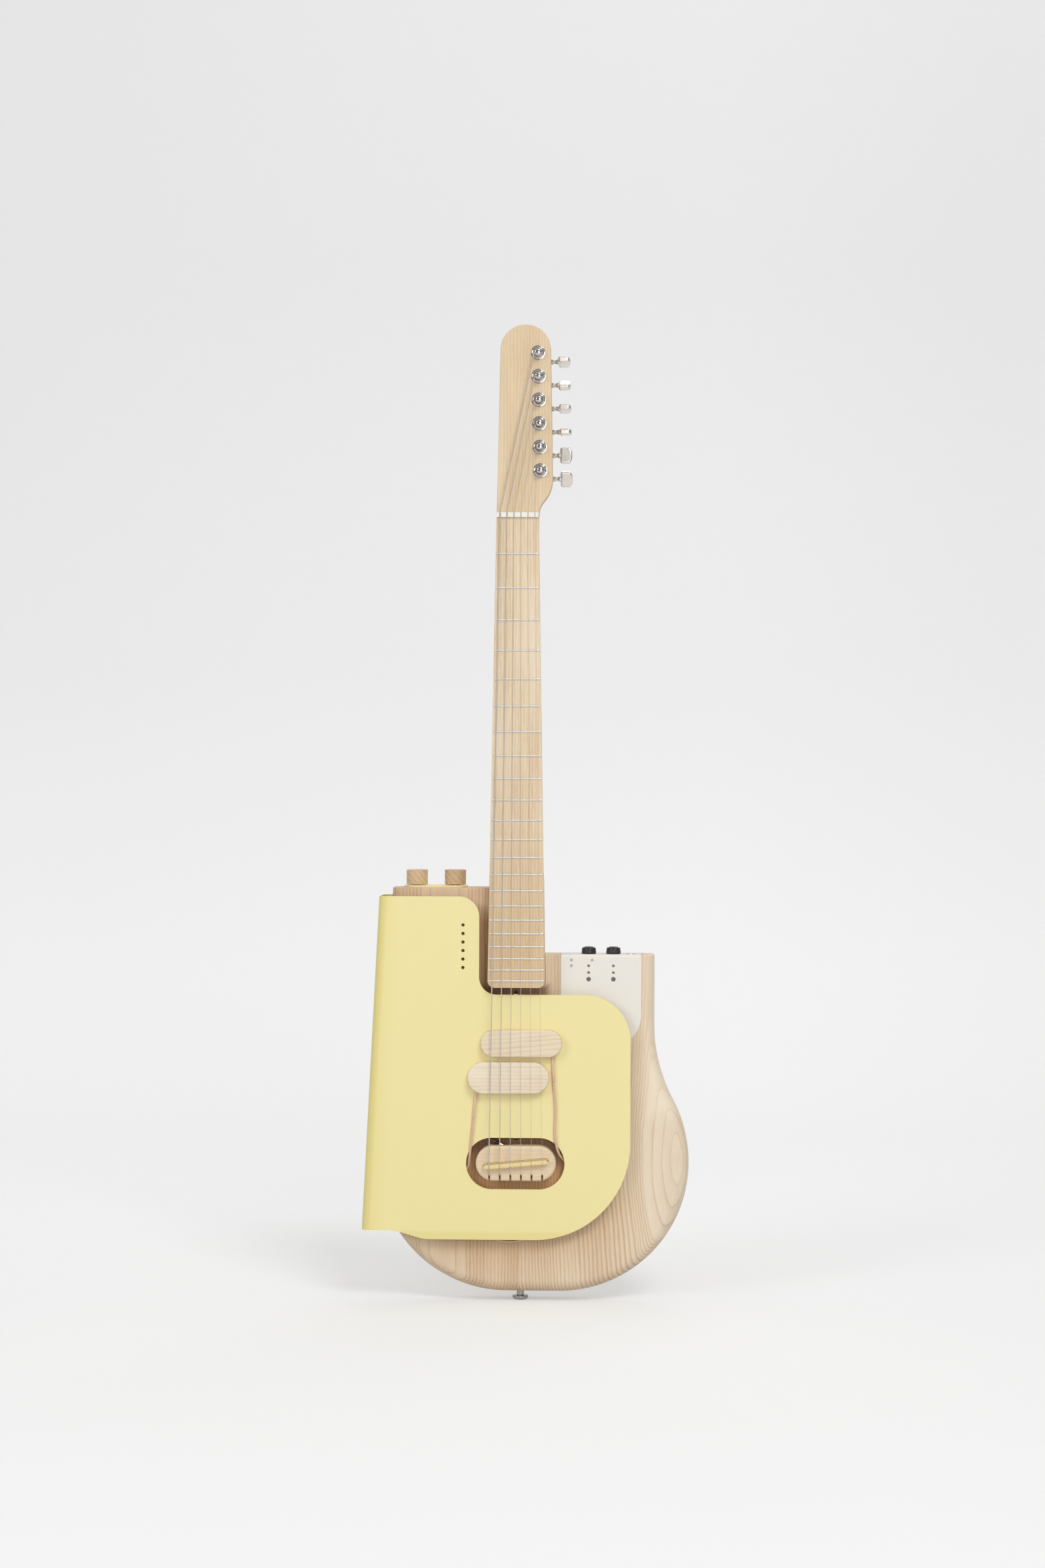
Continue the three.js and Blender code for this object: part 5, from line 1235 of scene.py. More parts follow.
def nut_profile():
    left, right = around(NECK_X, 2 * board.half_at_nut)
    low = NUT_TOP + nut.slot
    points = [(right, NECK_FRONT), (right, NUT_TOP, nut.corner)]
    for i in reversed(range(len(GAUGES))):
        half = GAUGES[i] / 2 + SEAT
        x = string_x_at_nut(i)
        points += [(x + half, NUT_TOP, nut.lip), (x + half, low, half * 0.8), (x - half, low, half * 0.8),
                   (x - half, NUT_TOP, nut.lip)]
    points += [(left, NUT_TOP, nut.corner), (left, NECK_FRONT)]
    return rounded(points, chord=FINE_CHORD)


piece("nut_bone", plate(nut_profile(), NUT_Z, NUT_Z + nut.thickness, "z", edge=nut.edge, steps=2), ivory,
      replaces=("nut",))

# Strings: ball end, anchor, saddle, nut, and turns round the tuner's post


def saddle_z(i):
    return part_way(saddle.bass_z, saddle.treble_z, string_share(i) + 0.5)


def winding(i, origin):
    gauge = GAUGES[i]
    radius = post.waist + SEAT + gauge / 2
    pitch = gauge + TURN_GAP
    centre = TUNER_POSTS[i]
    start_y = NECK_FRONT - post.dome_foot + SEAT + gauge / 2
    dx, dz = centre[0] - origin[0], centre[1] - origin[2]
    leaves = math.atan2(dz, dx) + QUARTER + math.asin(radius / math.hypot(dx, dz))
    points = []
    for k in range(TURNS * TURN_STEPS + 1):
        angle = leaves - 2 * math.pi * k / TURN_STEPS
        points.append((centre[0] + radius * math.cos(angle), start_y + pitch * k / TURN_STEPS,
                       centre[1] + radius * math.sin(angle)))
    return points


def string_path(i):
    radius = GAUGES[i] / 2
    slot_x, nut_x = string_x_at_saddle(i), string_x_at_nut(i)
    over_bar = ANCHOR_LOW + anchor.height + SEAT + radius
    ball_front = ANCHOR_BACK + SEAT + ball.core
    crown_y = SADDLE_TOP - SEAT - radius
    crown_half = (saddle.width - saddle.edge) / 2
    nut_y = NUT_TOP + nut.slot - SEAT - radius
    out_of_nut = (nut_x, nut_y, NUT_Z + nut.thickness)
    return [
        (slot_x, ball_front + ball.length, over_bar),
        (slot_x, ball_front, over_bar),
        (slot_x, ball_front - ball.core / 2, over_bar),
        (slot_x, ANCHOR_FRONT - SEAT - radius, over_bar),
        (slot_x, TAIL_FRONT - SEAT, SLOT_TOP - SEAT - radius),
        (slot_x, crown_y + saddle.dip, saddle_z(i) - crown_half - saddle.ahead),
        (slot_x, crown_y, saddle_z(i) - crown_half * 0.6),
        (slot_x, crown_y, saddle_z(i) + crown_half),
        (nut_x, nut_y, NUT_Z),
        out_of_nut,
        *winding(i, out_of_nut),
    ]


for i, gauge in enumerate(GAUGES):
    path = string_path(i)
    radii = [ball.radius if k < 2 else gauge / 2 for k in range(len(path))]
    skin = string_wound if i < WOUND_STRINGS else string_plain
    piece(f"string_wire_{i + 1}", swept(path, radii, 12), skin, replaces=(f"string_{i + 1}",))

# Tuners


def tuner_bushing(x, z):
    bore, outer = post.shaft + SEAT, tuner.hole - SEAT
    top, washer_top = NECK_FRONT - post.bush_height, NECK_FRONT - post.washer_height
    return turned([
        (bore, top, 0.15), (post.bush_top, top, 0.5),
        (post.bush_top + post.flare, washer_top - post.flare_end, 0.3),
        (post.bush, washer_top - post.band_end, 0.25),
        (post.bush + post.foot, washer_top, 0.05), (post.washer, washer_top, 0.4),
        (post.washer, NECK_FRONT), (outer, NECK_FRONT), (outer, HEAD_BACK), (bore, HEAD_BACK),
    ], "y", (x, 0, z), 56, closed=True)


def tuner_post(x, z):
    foot = NECK_FRONT - post.dome_foot
    top = NECK_FRONT - post.dome_top
    bush_top = NECK_FRONT - post.bush_height
    wheel_front, wheel_back = WORM_Y - worm.wheel_half, WORM_Y + worm.wheel_half
    return turned([
        (0, top), (post.dome * 0.62, top + post.dome_drop, 2.2), (post.dome, foot - post.dome_skirt, 1.0),
        (post.dome, foot, 0.25), (post.waist, foot, 0.2), (post.waist, bush_top, 0.3),
        (post.shaft, bush_top, 0.2), (post.shaft, wheel_front), (worm.wheel_radius, wheel_front, 0.3),
        (worm.wheel_radius, wheel_back, 0.3), (0, wheel_back),
    ], "y", (x, 0, z), 48)


def tuner_case(n, x, z):
    outline = rectangle(x - housing.half_width, x + housing.half_width, z - housing.below,
                        z + housing.above, housing.corner)
    can = plate(outline, HEAD_BACK, HEAD_BACK + housing.depth, edge=housing.seam, far_edge=housing.edge,
                steps=5)
    axis_z = z - worm.offset
    sleeve = rod("x", WORM_Y, axis_z, housing.sleeve, x, x + housing.sleeve_end, 36, housing.sleeve_edge)
    bore = rod("x", WORM_Y, axis_z, worm.radius + SEAT, x - worm.left_end - SEAT,
               x + housing.sleeve_end + OVERRUN, 20)
    wheel = rod("y", x, z, worm.wheel_radius + SEAT, WORM_Y - worm.wheel_half - SEAT,
                WORM_Y + worm.wheel_half + SEAT)
    shaft_hole = rod("y", x, z, post.shaft + SEAT, HEAD_BACK - OVERRUN, WORM_Y)
    piece(f"tuner_case_{n}", can, chrome, replaces=(f"tuner_{n}_housing",),
          joins=([sleeve],), cuts=([wheel], [bore], [shaft_hole]))


def tuner_cap(x, z):
    back = HEAD_BACK + housing.depth
    return turned([
        (0, back + case_cap.proud), (case_cap.radius, back + case_cap.proud, 0.1),
        (case_cap.radius, back - case_cap.sunk), (0, back - case_cap.sunk),
    ], "y", (x, 0, z), 24)


def tuner_button(x, z, turn):
    outer = button.width / 2
    start = button.blade_start
    end = start + button.blade_length
    above = [(end - button.bulge, outer - button.shoulder, 2.2), (end - button.bow, outer, 1.8),
             (start + button.chamfer, outer, 0.9), (start, outer - button.chamfer, 0.9)]
    below = [(along, -across, fillet) for along, across, fillet in reversed(above)]
    blade = plate(rounded([*below, (end, 0, 18), *above]), -button.thickness / 2, button.thickness / 2,
                  "z", edge=button.edge, steps=6)
    stem = turned([
        (0, -worm.left_end), (worm.radius, -worm.left_end, 0.2), (worm.radius, button.stem_start, 0.05),
        (button.stem, button.stem_start, 0.15), (button.stem, button.stem_start + button.neck, 0.5),
        (button.flare, start - button.collar, 0.5), (button.flare, start + button.root),
        (0, start + button.root),
    ], "x", (0, 0, 0), 36)
    place = Matrix.Translation((x, WORM_Y, z - worm.offset)) @ Matrix.Rotation(
        math.radians(turn) + QUARTER, 4, "X")
    return [moved(stem, place), moved(blade, place)]


for n, ((x, z), turn) in enumerate(zip(TUNER_POSTS, BUTTON_TURNS), 1):
    tuner_case(n, x, z)
    piece(f"tuner_cap_{n}", tuner_cap(x, z), steel)
    piece(f"tuner_ring_{n}", tuner_bushing(x, z), chrome, replaces=(f"tuner_{n}_bushing",))
    piece(f"tuner_shaft_{n}", tuner_post(x, z), chrome, f"tuner_{n}_post",
          replaces=(f"tuner_{n}_post",))
    piece(f"tuner_grip_{n}", tuner_button(x, z, turn), nickel, f"tuner_{n}_button",
          replaces=(f"tuner_{n}_button",))

# Bent shell: one sheet folded twice along the body's left edge


def folded_channel():
    front, back = SHEET_FRONT, WOOD_BACK + SHEET
    outer, inner = shell.bend, shell.bend - SHEET
    reach = shell.right_x - FOLD_TOP_X + shell.belly_corner
    profile = [
        (reach, front),
        *arc((outer, front + outer), outer, -QUARTER, -2 * QUARTER),
        *arc((outer, back - outer), outer, 2 * QUARTER, QUARTER),
        (shell.back_reach, back),
        (shell.back_reach, back - SHEET),
        *arc((outer, back - outer), inner, QUARTER, 2 * QUARTER),
        *arc((outer, front + outer), inner, -2 * QUARTER, -QUARTER),
        (reach, front + SHEET),
    ]
    solid = plate(profile, 0, shell.top_z + shell.belly_corner, "z")
    along = Vector((shell.fold_lean, 0, 1)).normalized()
    across = Vector((0, 1, 0)).cross(along)
    basis = Matrix((across, (0, 1, 0), along)).transposed().to_4x4()
    return moved(solid, Matrix.Translation((fold_x(0), 0, 0)) @ basis)


def shell_outlines():
    far_left = fold_x(0) - shell.bend
    front = rounded([
        (far_left, shell.top_z), (far_left, shell.hip_z),
        (shell.hip_left, shell.hip_z, shell.hip_corner),
        (shell.hip_right, shell.bottom_z, shell.hip_corner),
        (shell.right_x, shell.bottom_z, shell.belly_corner),
        (shell.right_x, shell.mid_z, shell.shoulder_corner),
        (shell.tab_right, shell.mid_z, shell.throat_corner),
        (shell.tab_right, shell.top_z, shell.tab_corner),
    ])
    low_right = fold_x(shell.hip_z) + shell.back_reach - shell.back_corner / 3
    high_right = fold_x(shell.top_z) + shell.back_reach - shell.back_corner / 3
    back = rounded([
        (far_left, shell.top_z), (far_left, shell.hip_z), (low_right, shell.hip_z, shell.back_corner),
        (high_right, shell.top_z, shell.back_corner),
    ])
    return front, back


def bent_shell():
    front, back = shell_outlines()
    before = SHEET_FRONT - OVERRUN
    mask = new_object(mesh_of([plate(front, before, 0)], "mask"), "mask")
    carve(mask, [plate(back, 0, WOOD_BACK + SHEET + OVERRUN)], "UNION")
    window = plate(stadium(cutout.x, cutout.z, cutout.length, cutout.height), before, SHEET_BACK + OVERRUN)
    slots = [rod("y", shell.tab_right - vents.inset, shell.top_z - vents.drop + vents.pitch * i,
                 vents.radius, before, SHEET_BACK + OVERRUN) for i in range(vents.count)]
    piece("folded_sheet", folded_channel(), yellow, replaces=("bent_shell",),
          keep=(mask,), cuts=([window, *slots],), edge=shell.edge)


bent_shell()


def standoff_places():
    reach = standoff.radius - standoff.peek
    return [
        (NECK_X + standoff.offset, cutout.z + cutout.height / 2 + reach),
        (NECK_X + standoff.offset, shell.mid_z - reach),
        (shell.right_x - standoff.edge_inset, panel.low_z - standoff.edge_inset),
        (shell.right_x - shell.belly_corner, shell.bottom_z + standoff.corner_inset),
    ]


def standoff_solid(x, z):
    waist = standoff.radius - standoff.step_in
    return turned([
        (0, SHEET_BACK), (standoff.radius, SHEET_BACK, 0.3),
        (standoff.radius, SHEET_BACK + standoff.collar, 0.3),
        (waist, SHEET_BACK + standoff.collar + standoff.step, 0.3), (waist, WOOD_FRONT), (0, WOOD_FRONT),
    ], "y", (x, 0, z), 32)


def washer_solid(z):
    front = WOOD_FRONT - washer.rise
    profile = [(0, front), (washer.radius, front, 0.2), (washer.radius, WOOD_FRONT), (0, WOOD_FRONT)]
    return turned(profile, "y", (washer.x, 0, z), 28)


piece("sheet_standoffs", [standoff_solid(x, z) for x, z in standoff_places()], yellow)

# Where two standoffs are screwed to the wood, a dark round washer just shows beyond the sheet

piece("standoff_washers", [washer_solid(z) for z in washer.zs], dark_steel)

# Tailpiece, saddle and anchor

SADDLE_LEAN = math.atan2(saddle.treble_z - saddle.bass_z, SADDLE_SPREAD)


def planted_bar(margin, front, back, edge=0.0):
    outline = stadium(0, 0, saddle.length + 2 * margin, saddle.width + 2 * margin)
    bar = plate(outline, front, back, edge=edge, far_edge=0.0, steps=1)
    place = Matrix.Translation((NECK_X, 0, (saddle.bass_z + saddle.treble_z) / 2))
    return moved(bar, place @ Matrix.Rotation(-SADDLE_LEAN, 4, "Y"))


def tailpiece():
    blank = plate(stadium(NECK_X, tail.z, tail.length, tail.height), TAIL_FRONT, WOOD_FRONT,
                  edge=tail.edge, far_edge=0.0, steps=6)
    low, behind = TAIL_LOW - OVERRUN, WOOD_FRONT + OVERRUN
    slots = [block(*around(string_x_at_saddle(i), tail.slot_width), TAIL_FRONT - OVERRUN,
                   CHANNEL_FRONT + OVERRUN, low, SLOT_TOP) for i in range(len(GAUGES))]
    channel = block(*around(NECK_X, tail.channel_length), CHANNEL_FRONT, behind, ANCHOR_LOW - SEAT,
                    ANCHOR_LOW + tail.channel_height)
    mouth = block(string_x_at_saddle(0) - OVERRUN, string_x_at_saddle(len(GAUGES) - 1) + OVERRUN,
                  CHANNEL_FRONT, behind, low, ANCHOR_LOW)
    plug_room = block(plug.x - plug.room_reach, socket.x + socket.width / 2 + SEAT,
                      WOOD_FRONT - socket.height - SEAT, behind, SOCKET_LOW - SEAT,
                      tail.z + tail.height / 2 + OVERRUN)
    planted = planted_bar(SEAT * 0.5, TAIL_FRONT - OVERRUN, TAIL_FRONT + saddle.plant)
    piece("tailpiece_wood", blank, tan_maple, replaces=("tailpiece_block",),
          cuts=([channel], [mouth], slots, [plug_room], [planted]))


tailpiece()


def saddle_nicks():
    """A notch for each string in both edges of the saddle, which leaves its crown whole."""
    nicks = []
    crown = saddle.width * saddle.crown
    for i, gauge in enumerate(GAUGES):
        x, z = string_x_at_saddle(i), saddle_z(i)
        wide = saddle.nick + gauge / 2
        narrow = wide * 0.3
        front, low = SADDLE_TOP - SMALL_OVERRUN, SADDLE_TOP + saddle.nick
        profile = [(x - wide, front), (x + wide, front), (x + narrow, low), (x - narrow, low)]
        nicks += [plate(profile, *ends, "z")
                  for ends in ((z - saddle.width, z - crown), (z + crown, z + saddle.width))]
    return nicks


piece("saddle_brass", planted_bar(0, SADDLE_TOP, TAIL_FRONT + saddle.plant, saddle.edge), brass,
      replaces=("saddle_bar",), cuts=(saddle_nicks(),))
piece("anchor_brass", block(*around(NECK_X, tail.channel_length - 2 * SEAT), ANCHOR_FRONT, ANCHOR_BACK,
                            ANCHOR_LOW, ANCHOR_LOW + anchor.height, edge=anchor.edge),
      dark_brass, replaces=("string_anchor_bar",))

# Pickup plug and its socket


def plug_part(name, profile, material, replaces=()):
    piece(name, turned_along(profile, PLUG_TIP, -PLUG_AXIS), material, replaces=replaces)


def pickup_plug():
    near, far = plug.collar_start, plug.collar_end
    relief = far + plug.grip
    inner, outer = plug.radius - plug.step_in, plug.radius - plug.shrink
    wide = plug.radius - plug.relief_step
    plug_part("plug_grip", [
        (0, near), (inner, near), (inner, far), (outer, far, 0.2), (outer, relief, 0.4), (0, relief),
    ], black_plastic, ("pickup_plug",))
    plug_part("plug_relief", [
        (0, relief - plug.overlap), (wide, relief - plug.overlap), (wide, relief + plug.shoulder, 1.5),
        (cable.radius + plug.sleeve, relief + plug.taper, 1.5),
        (cable.radius + plug.mouth, plug.length, 0.1), (0, plug.length),
    ], relief_brown)
    plug_part("plug_collar", [
        (0, 0), (plug.radius, 0, 0.3), (plug.radius, near, 0.1), (plug.collar, near, 0.25),
        (plug.collar, far, 0.25), (0, far),
    ], brass)


pickup_plug()
piece("plug_socket", block(*around(socket.x, socket.width), WOOD_FRONT - socket.height, WOOD_FRONT,
                           SOCKET_LOW, SOCKET_HIGH, corner=socket.corner, edge=socket.edge),
      black_plastic, replaces=("pickup_socket",))

# Pickups: a wood cover over a base with its coil, and the cable's boot


def pickup_pieces(unit):
    def outline(distance):
        return stadium(unit.x, unit.z, pickup.length - 2 * distance, unit.height - 2 * distance)

    low_z = unit.z - unit.height / 2
    inside_z = low_z + pickup.wall * 2
    start = Vector((unit.boot_x - pickup.wall * unit.lean * 2, BOOT_Y, inside_z))
    end = boot_end(unit)
    notch = swept([start, end], pickup.boot_radius + SEAT, 24)
    mouth = block(*around(unit.boot_x, 2 * (pickup.boot_radius + 2 * SEAT)), BOOT_Y,
                  PICKUP_BACK + OVERRUN, low_z - OVERRUN, inside_z)
    cover = plate(outline(0), PICKUP_FRONT, PICKUP_BACK, edge=pickup.edge, far_edge=pickup.seam, steps=6)
    hollow = plate(outline(pickup.wall), PICKUP_FRONT + pickup.roof, PICKUP_BACK + OVERRUN)
    piece(f"{unit.name}_shell", cover, unit.wood, unit.name,
          replaces=(f"{unit.name}_cover",), cuts=([hollow], [notch], [mouth]))
    base = plate(outline(pickup.wall + SEAT), PICKUP_BACK - pickup.base, PICKUP_BACK, edge=pickup.base_edge)
    coil = plate(stadium(unit.x, unit.z, pickup.coil_length, pickup.coil_width),
                 PICKUP_FRONT + pickup.roof + SEAT, PICKUP_BACK - pickup.base, edge=pickup.coil_edge)
    piece(f"{unit.name}_coil", [base, coil], black_plastic, unit.name,
          replaces=(f"{unit.name}_base",))
    run = end - start
    ring_start, ring_end = run.length - pickup.boot_ring[0], run.length - pickup.boot_ring[1]
    boot = turned_along([
        (0, 0), (pickup.boot_radius, 0, 0.2), (pickup.boot_radius, run.length * 0.5),
        (pickup.boot_radius * 0.96, ring_start, 0.1), (pickup.boot_radius, ring_end, 0.1),
        (pickup.boot_radius, run.length, 0.3), (0, run.length),
    ], start, run.normalized())
    piece(f"{unit.name}_boot", boot, boot_skin, unit.name)


neck_pickup.wood, bridge_pickup.wood = warm_maple, pale_maple
for unit in (neck_pickup, bridge_pickup):
    pickup_pieces(unit)

# Volume and tone: wood knobs on a plate, with a set screw in each

piece("knob_plate_coat", plate(
    stadium(KNOB_ROW_X, knob_row.y, knob_plate.length, knob_plate.width), LEFT_TOP_Z, KNOB_PLATE_TOP,
    "z", holes=[circle(x, knob_row.y, pot.bush + SEAT) for x in KNOB_XS], edge=knob_plate.edge, steps=3),
    yellow, replaces=("knob_plate",))


def wood_knob_solid(x):
    low = KNOB_PLATE_TOP + wood_knob.gap
    high = low + wood_knob.height
    roof = low + wood_knob.hollow_depth
    shaft_end = LEFT_TOP_Z - pot.bracket - pot.shaft_depth
    return turned([
        (0, high), (wood_knob.radius, high, wood_knob.edge), (wood_knob.radius, low, wood_knob.edge / 2),
        (wood_knob.hollow_radius, low, 0.2), (wood_knob.hollow_radius, roof, 0.3), (pot.shaft, roof),
        (pot.shaft, shaft_end, 0.2), (0, shaft_end),
    ], "z", (x, knob_row.y, 0), 72)


def knob_with_set_screw(name, x):
    middle = KNOB_PLATE_TOP + wood_knob.gap + wood_knob.height - set_screw.drop
    outward = Vector((math.cos(set_screw.turn), math.sin(set_screw.turn), 0))
    seat = Vector((x, knob_row.y, middle)) + outward * (wood_knob.radius - set_screw.sunk)
    hole = turned_along([(0, 0), (set_screw.radius, 0), (set_screw.radius, set_screw.hole),
                         (0, set_screw.hole)], seat, outward, 24)
    piece(f"{name}_wood", wood_knob_solid(x), knob_maple, name, replaces=(name,),
          cuts=([hole],))
    outer = set_screw.radius - set_screw.gap
    screw = turned_along([
        (0, set_screw.hex_floor), (set_screw.hex, set_screw.hex_floor), (set_screw.hex, set_screw.head),
        (outer, set_screw.head, 0.1), (outer, -set_screw.length), (0, -set_screw.length),
    ], seat, outward, 6)
    piece(f"{name}_set_screw", screw, dark_steel, name)


for name, x in zip(("volume_knob", "tone_knob"), KNOB_XS):
    knob_with_set_screw(name, x)

# Neck plate on the back, with four cross-head screws

NECK_PLATE_OUTLINE = rectangle(*around(NECK_X, neck_plate.width), NECK_PLATE_LOW,
                               NECK_PLATE_LOW + neck_plate.height, neck_plate.corner)
piece("neck_plate_steel", plate(NECK_PLATE_OUTLINE, WOOD_BACK, NECK_PLATE_BACK, far_edge=neck_plate.edge),
      chrome, replaces=("neck_plate",))


def neck_screw(x, z):
    tip = HEEL_BACK - neck_plate.reach
    rim = NECK_PLATE_BACK + neck_plate.head_height
    return turned([
        (0, tip), (neck_plate.screw, tip + neck_plate.taper),
        (neck_plate.screw, NECK_PLATE_BACK - neck_plate.sink),
        (neck_plate.head_radius, NECK_PLATE_BACK, 0.2),
        (neck_plate.head_radius * 0.82, rim - neck_plate.dome, 2.0), (0, rim),
    ], "y", (x, 0, z), 36)


def cross_cuts(x, z):
    rim = NECK_PLATE_BACK + neck_plate.head_height
    long, short = neck_plate.cross
    depths = (rim - neck_plate.cross_depth, rim + SMALL_OVERRUN)
    return [[block(*around(x, wide), *depths, *around(z, high))]
            for wide, high in ((long, short), (short, long))]


for n, (x, z) in enumerate(PLATE_SCREWS, 1):
    piece(f"neck_screw_{n}", neck_screw(x, z), steel, cuts=cross_cuts(x, z))

# Control panel: a folded white sheet over the electronics

RINGED = 3
SLIVER = 0.02
PIPE_PLACES = [
    (panel.left_x + light_pipe.near, PANEL_TOP - light_pipe.top_drop),
    (panel.left_x + light_pipe.near, PANEL_TOP - light_pipe.drop),
    (panel.left_x + light_pipe.far, PANEL_TOP - light_pipe.top_drop),
    *[(x, PANEL_TOP - drop) for x in PANEL_KNOB_XS for drop in (light_pipe.drop, light_pipe.low_drop)],
]


def folded_panel():
    inner = panel.bend - panel.thickness
    centre = (WOOD_FRONT + inner, PANEL_TOP - panel.thickness - inner)
    back = WOOD_FRONT + panel.depth
    return plate([
        (PANEL_FRONT, panel.low_z),
        *arc(centre, panel.bend, HALF_TURN, QUARTER, FINE_CHORD),
        (back, PANEL_TOP),
        (back, PANEL_TOP - panel.thickness),
        *arc(centre, inner, QUARTER, HALF_TURN, FINE_CHORD),
        (WOOD_FRONT, panel.low_z),
    ], panel.left_x, panel.right_x, "x")


def panel_mask():
    """The panel seen from the front: its lower corners are round, and elsewhere it is wider."""
    wide = panel.low_z + panel.corner
    return plate(rounded([
        (panel.left_x - OVERRUN, PANEL_TOP + OVERRUN), (panel.left_x - OVERRUN, wide + OVERRUN),
        (panel.left_x, wide), (panel.left_x, panel.low_z, panel.corner - SEAT),
        (panel.right_x, panel.low_z, panel.corner - SEAT), (panel.right_x, wide),
        (panel.right_x + OVERRUN, wide + OVERRUN), (panel.right_x + OVERRUN, PANEL_TOP + OVERRUN),
    ]), PANEL_FRONT - OVERRUN, WOOD_FRONT + panel.depth + OVERRUN)


def panel_holes():
    through = (PANEL_FRONT - OVERRUN, WOOD_FRONT + OVERRUN)
    down = (PANEL_TOP - panel.thickness - OVERRUN, PANEL_TOP + OVERRUN)
    ringed, plain = light_pipe.radius + SEAT, light_pipe.plain_radius + SLIVER
    holes = [rod("y", x, z, ringed if n < RINGED else plain, *through, 28)
             for n, (x, z) in enumerate(PIPE_PLACES)]
    holes += [rod("y", x, PUSH_BUTTON_Z, push_button.radius + SEAT, *through) for x in PANEL_KNOB_XS]
    holes += [rod("z", x, panel_knob.y, panel_knob.shaft_radius + SEAT * 2, *down) for x in PANEL_KNOB_XS]
    holes.append(rod("z", jack.x, panel_knob.y, jack.radius + SEAT, *down))
    return holes


piece("panel_sheet", folded_panel(), white, replaces=("control_panel",),
      keep=([panel_mask()],), cuts=(panel_holes(),), edge=panel.edge)


def panel_knob_solid(x):
    low = PANEL_TOP + panel_knob.gap
    high = low + panel_knob.height
    cap = high + panel_knob.cap_height
    skirt = low + panel_knob.skirt
    shaft_end = PANEL_TOP - panel.thickness - panel_knob.shaft_depth
    return turned([
        (0, cap), (panel_knob.cap_radius, cap, 0.3),
        (panel_knob.cap_radius * 1.15, high, 0.2), (panel_knob.top_radius - panel_knob.brow, high, 0.9),
        (panel_knob.top_radius, high - panel_knob.edge, 0.5),
        (panel_knob.radius - panel_knob.lip, skirt, 0.2), (panel_knob.radius, skirt - 0.2, 0.1),
        (panel_knob.radius, low, 0.25),
        (panel_knob.shaft_radius, low), (panel_knob.shaft_radius, shaft_end, 0.2), (0, shaft_end),
    ], "z", (x, panel_knob.y, 0), 64)


def knob_flutes(x):
    low = PANEL_TOP + panel_knob.gap + panel_knob.skirt
    radius = panel_knob.radius + knurl.offset
    angles = [2 * math.pi * k / knurl.count for k in range(knurl.count)]
    return [rod("z", x + radius * math.cos(angle), panel_knob.y + radius * math.sin(angle), knurl.radius,
                low, low + panel_knob.height, knurl.sides) for angle in angles]


def pointer_notch(x):
    top = PANEL_TOP + panel_knob.gap + panel_knob.height
    return block(*around(x, pointer.width), panel_knob.y - panel_knob.radius - SMALL_OVERRUN,
                 panel_knob.y - panel_knob.cap_radius, top - pointer.depth, top + SMALL_OVERRUN)


for name, x in zip(("left_panel_knob", "right_panel_knob"), PANEL_KNOB_XS):
    piece(f"{name}_black", panel_knob_solid(x), black_plastic, name, replaces=(name,),
          cuts=(knob_flutes(x), [pointer_notch(x)]))


def push_button_solid(x):
    face = PANEL_FRONT - push_button.proud
    flange_front = WOOD_FRONT + SEAT
    flange_back = flange_front + push_button.flange
    return turned([
        (0, face + push_button.dish), (push_button.radius * 0.7, face + push_button.dish_edge, 1.0),
        (push_button.radius, face, 0.3), (push_button.radius, flange_front),
        (push_button.flange_radius, flange_front, 0.1), (push_button.flange_radius, flange_back, 0.1),
        (0, flange_back),
    ], "y", (x, 0, PUSH_BUTTON_Z), 40)


for name, x in zip(("left_push_button", "right_push_button"), PANEL_KNOB_XS):
    piece(f"{name}_cap", push_button_solid(x), grey_plastic, name, replaces=(name,))

# Each light pipe ends in a lens: a pale one in a thin grey ring, or a brown one that fills its hole


def lens_solid(x, z, radius):
    face, edge, back = PANEL_FRONT + SLIVER, PANEL_FRONT + light_pipe.edge, PANEL_FRONT + light_pipe.depth
    return turned([(0, face), (radius * 0.6, face, 0.5), (radius, edge, 0.1), (radius, back), (0, back)],
                  "y", (x, 0, z), 28)


def collar_solid(x, z):
    near, far = light_pipe.ring_bore + SLIVER, light_pipe.radius + SEAT - SLIVER
    front, back = PANEL_FRONT - light_pipe.ring_proud, PANEL_FRONT + light_pipe.depth
    return turned([(near, front, 0.05), (far, front, 0.05), (far, back), (near, back)],
                  "y", (x, 0, z), 28, closed=True)


for n, (x, z) in enumerate(PIPE_PLACES, 1):
    if n <= RINGED:
        piece(f"light_pipe_{n}", lens_solid(x, z, light_pipe.ring_bore), lens_pale)
        piece(f"light_collar_{n}", collar_solid(x, z), ring_grey)
    else:
        piece(f"light_pipe_{n}", lens_solid(x, z, light_pipe.plain_radius), lens_brown)

# Output jack


def output_jack():
    under = PANEL_TOP - panel.thickness - SEAT
    ring_top = PANEL_TOP + jack.ring_height
    barrel = turned([
        (jack.bore, ring_top, 0.2), (jack.ring_radius, ring_top, 0.25), (jack.ring_radius, PANEL_TOP),
        (jack.radius, PANEL_TOP), (jack.radius, under), (jack.bore, under),
    ], "z", (jack.x, panel_knob.y, 0), 48, closed=True)
    piece("jack_ring", barrel, nickel, replaces=("output_jack",))
    box = block(*around(jack.x, 2 * jack.half), *around(panel_knob.y, 2 * jack.half),
                PANEL_TOP - jack.depth, under, corner=jack.corner, edge=jack.edge, axis="z")
    bore = rod("z", jack.x, panel_knob.y, jack.bore, PANEL_TOP - jack.depth + panel.thickness,
               under + OVERRUN)
    piece("jack_body", box, black_plastic, cuts=([bore],))


output_jack()

# End pin


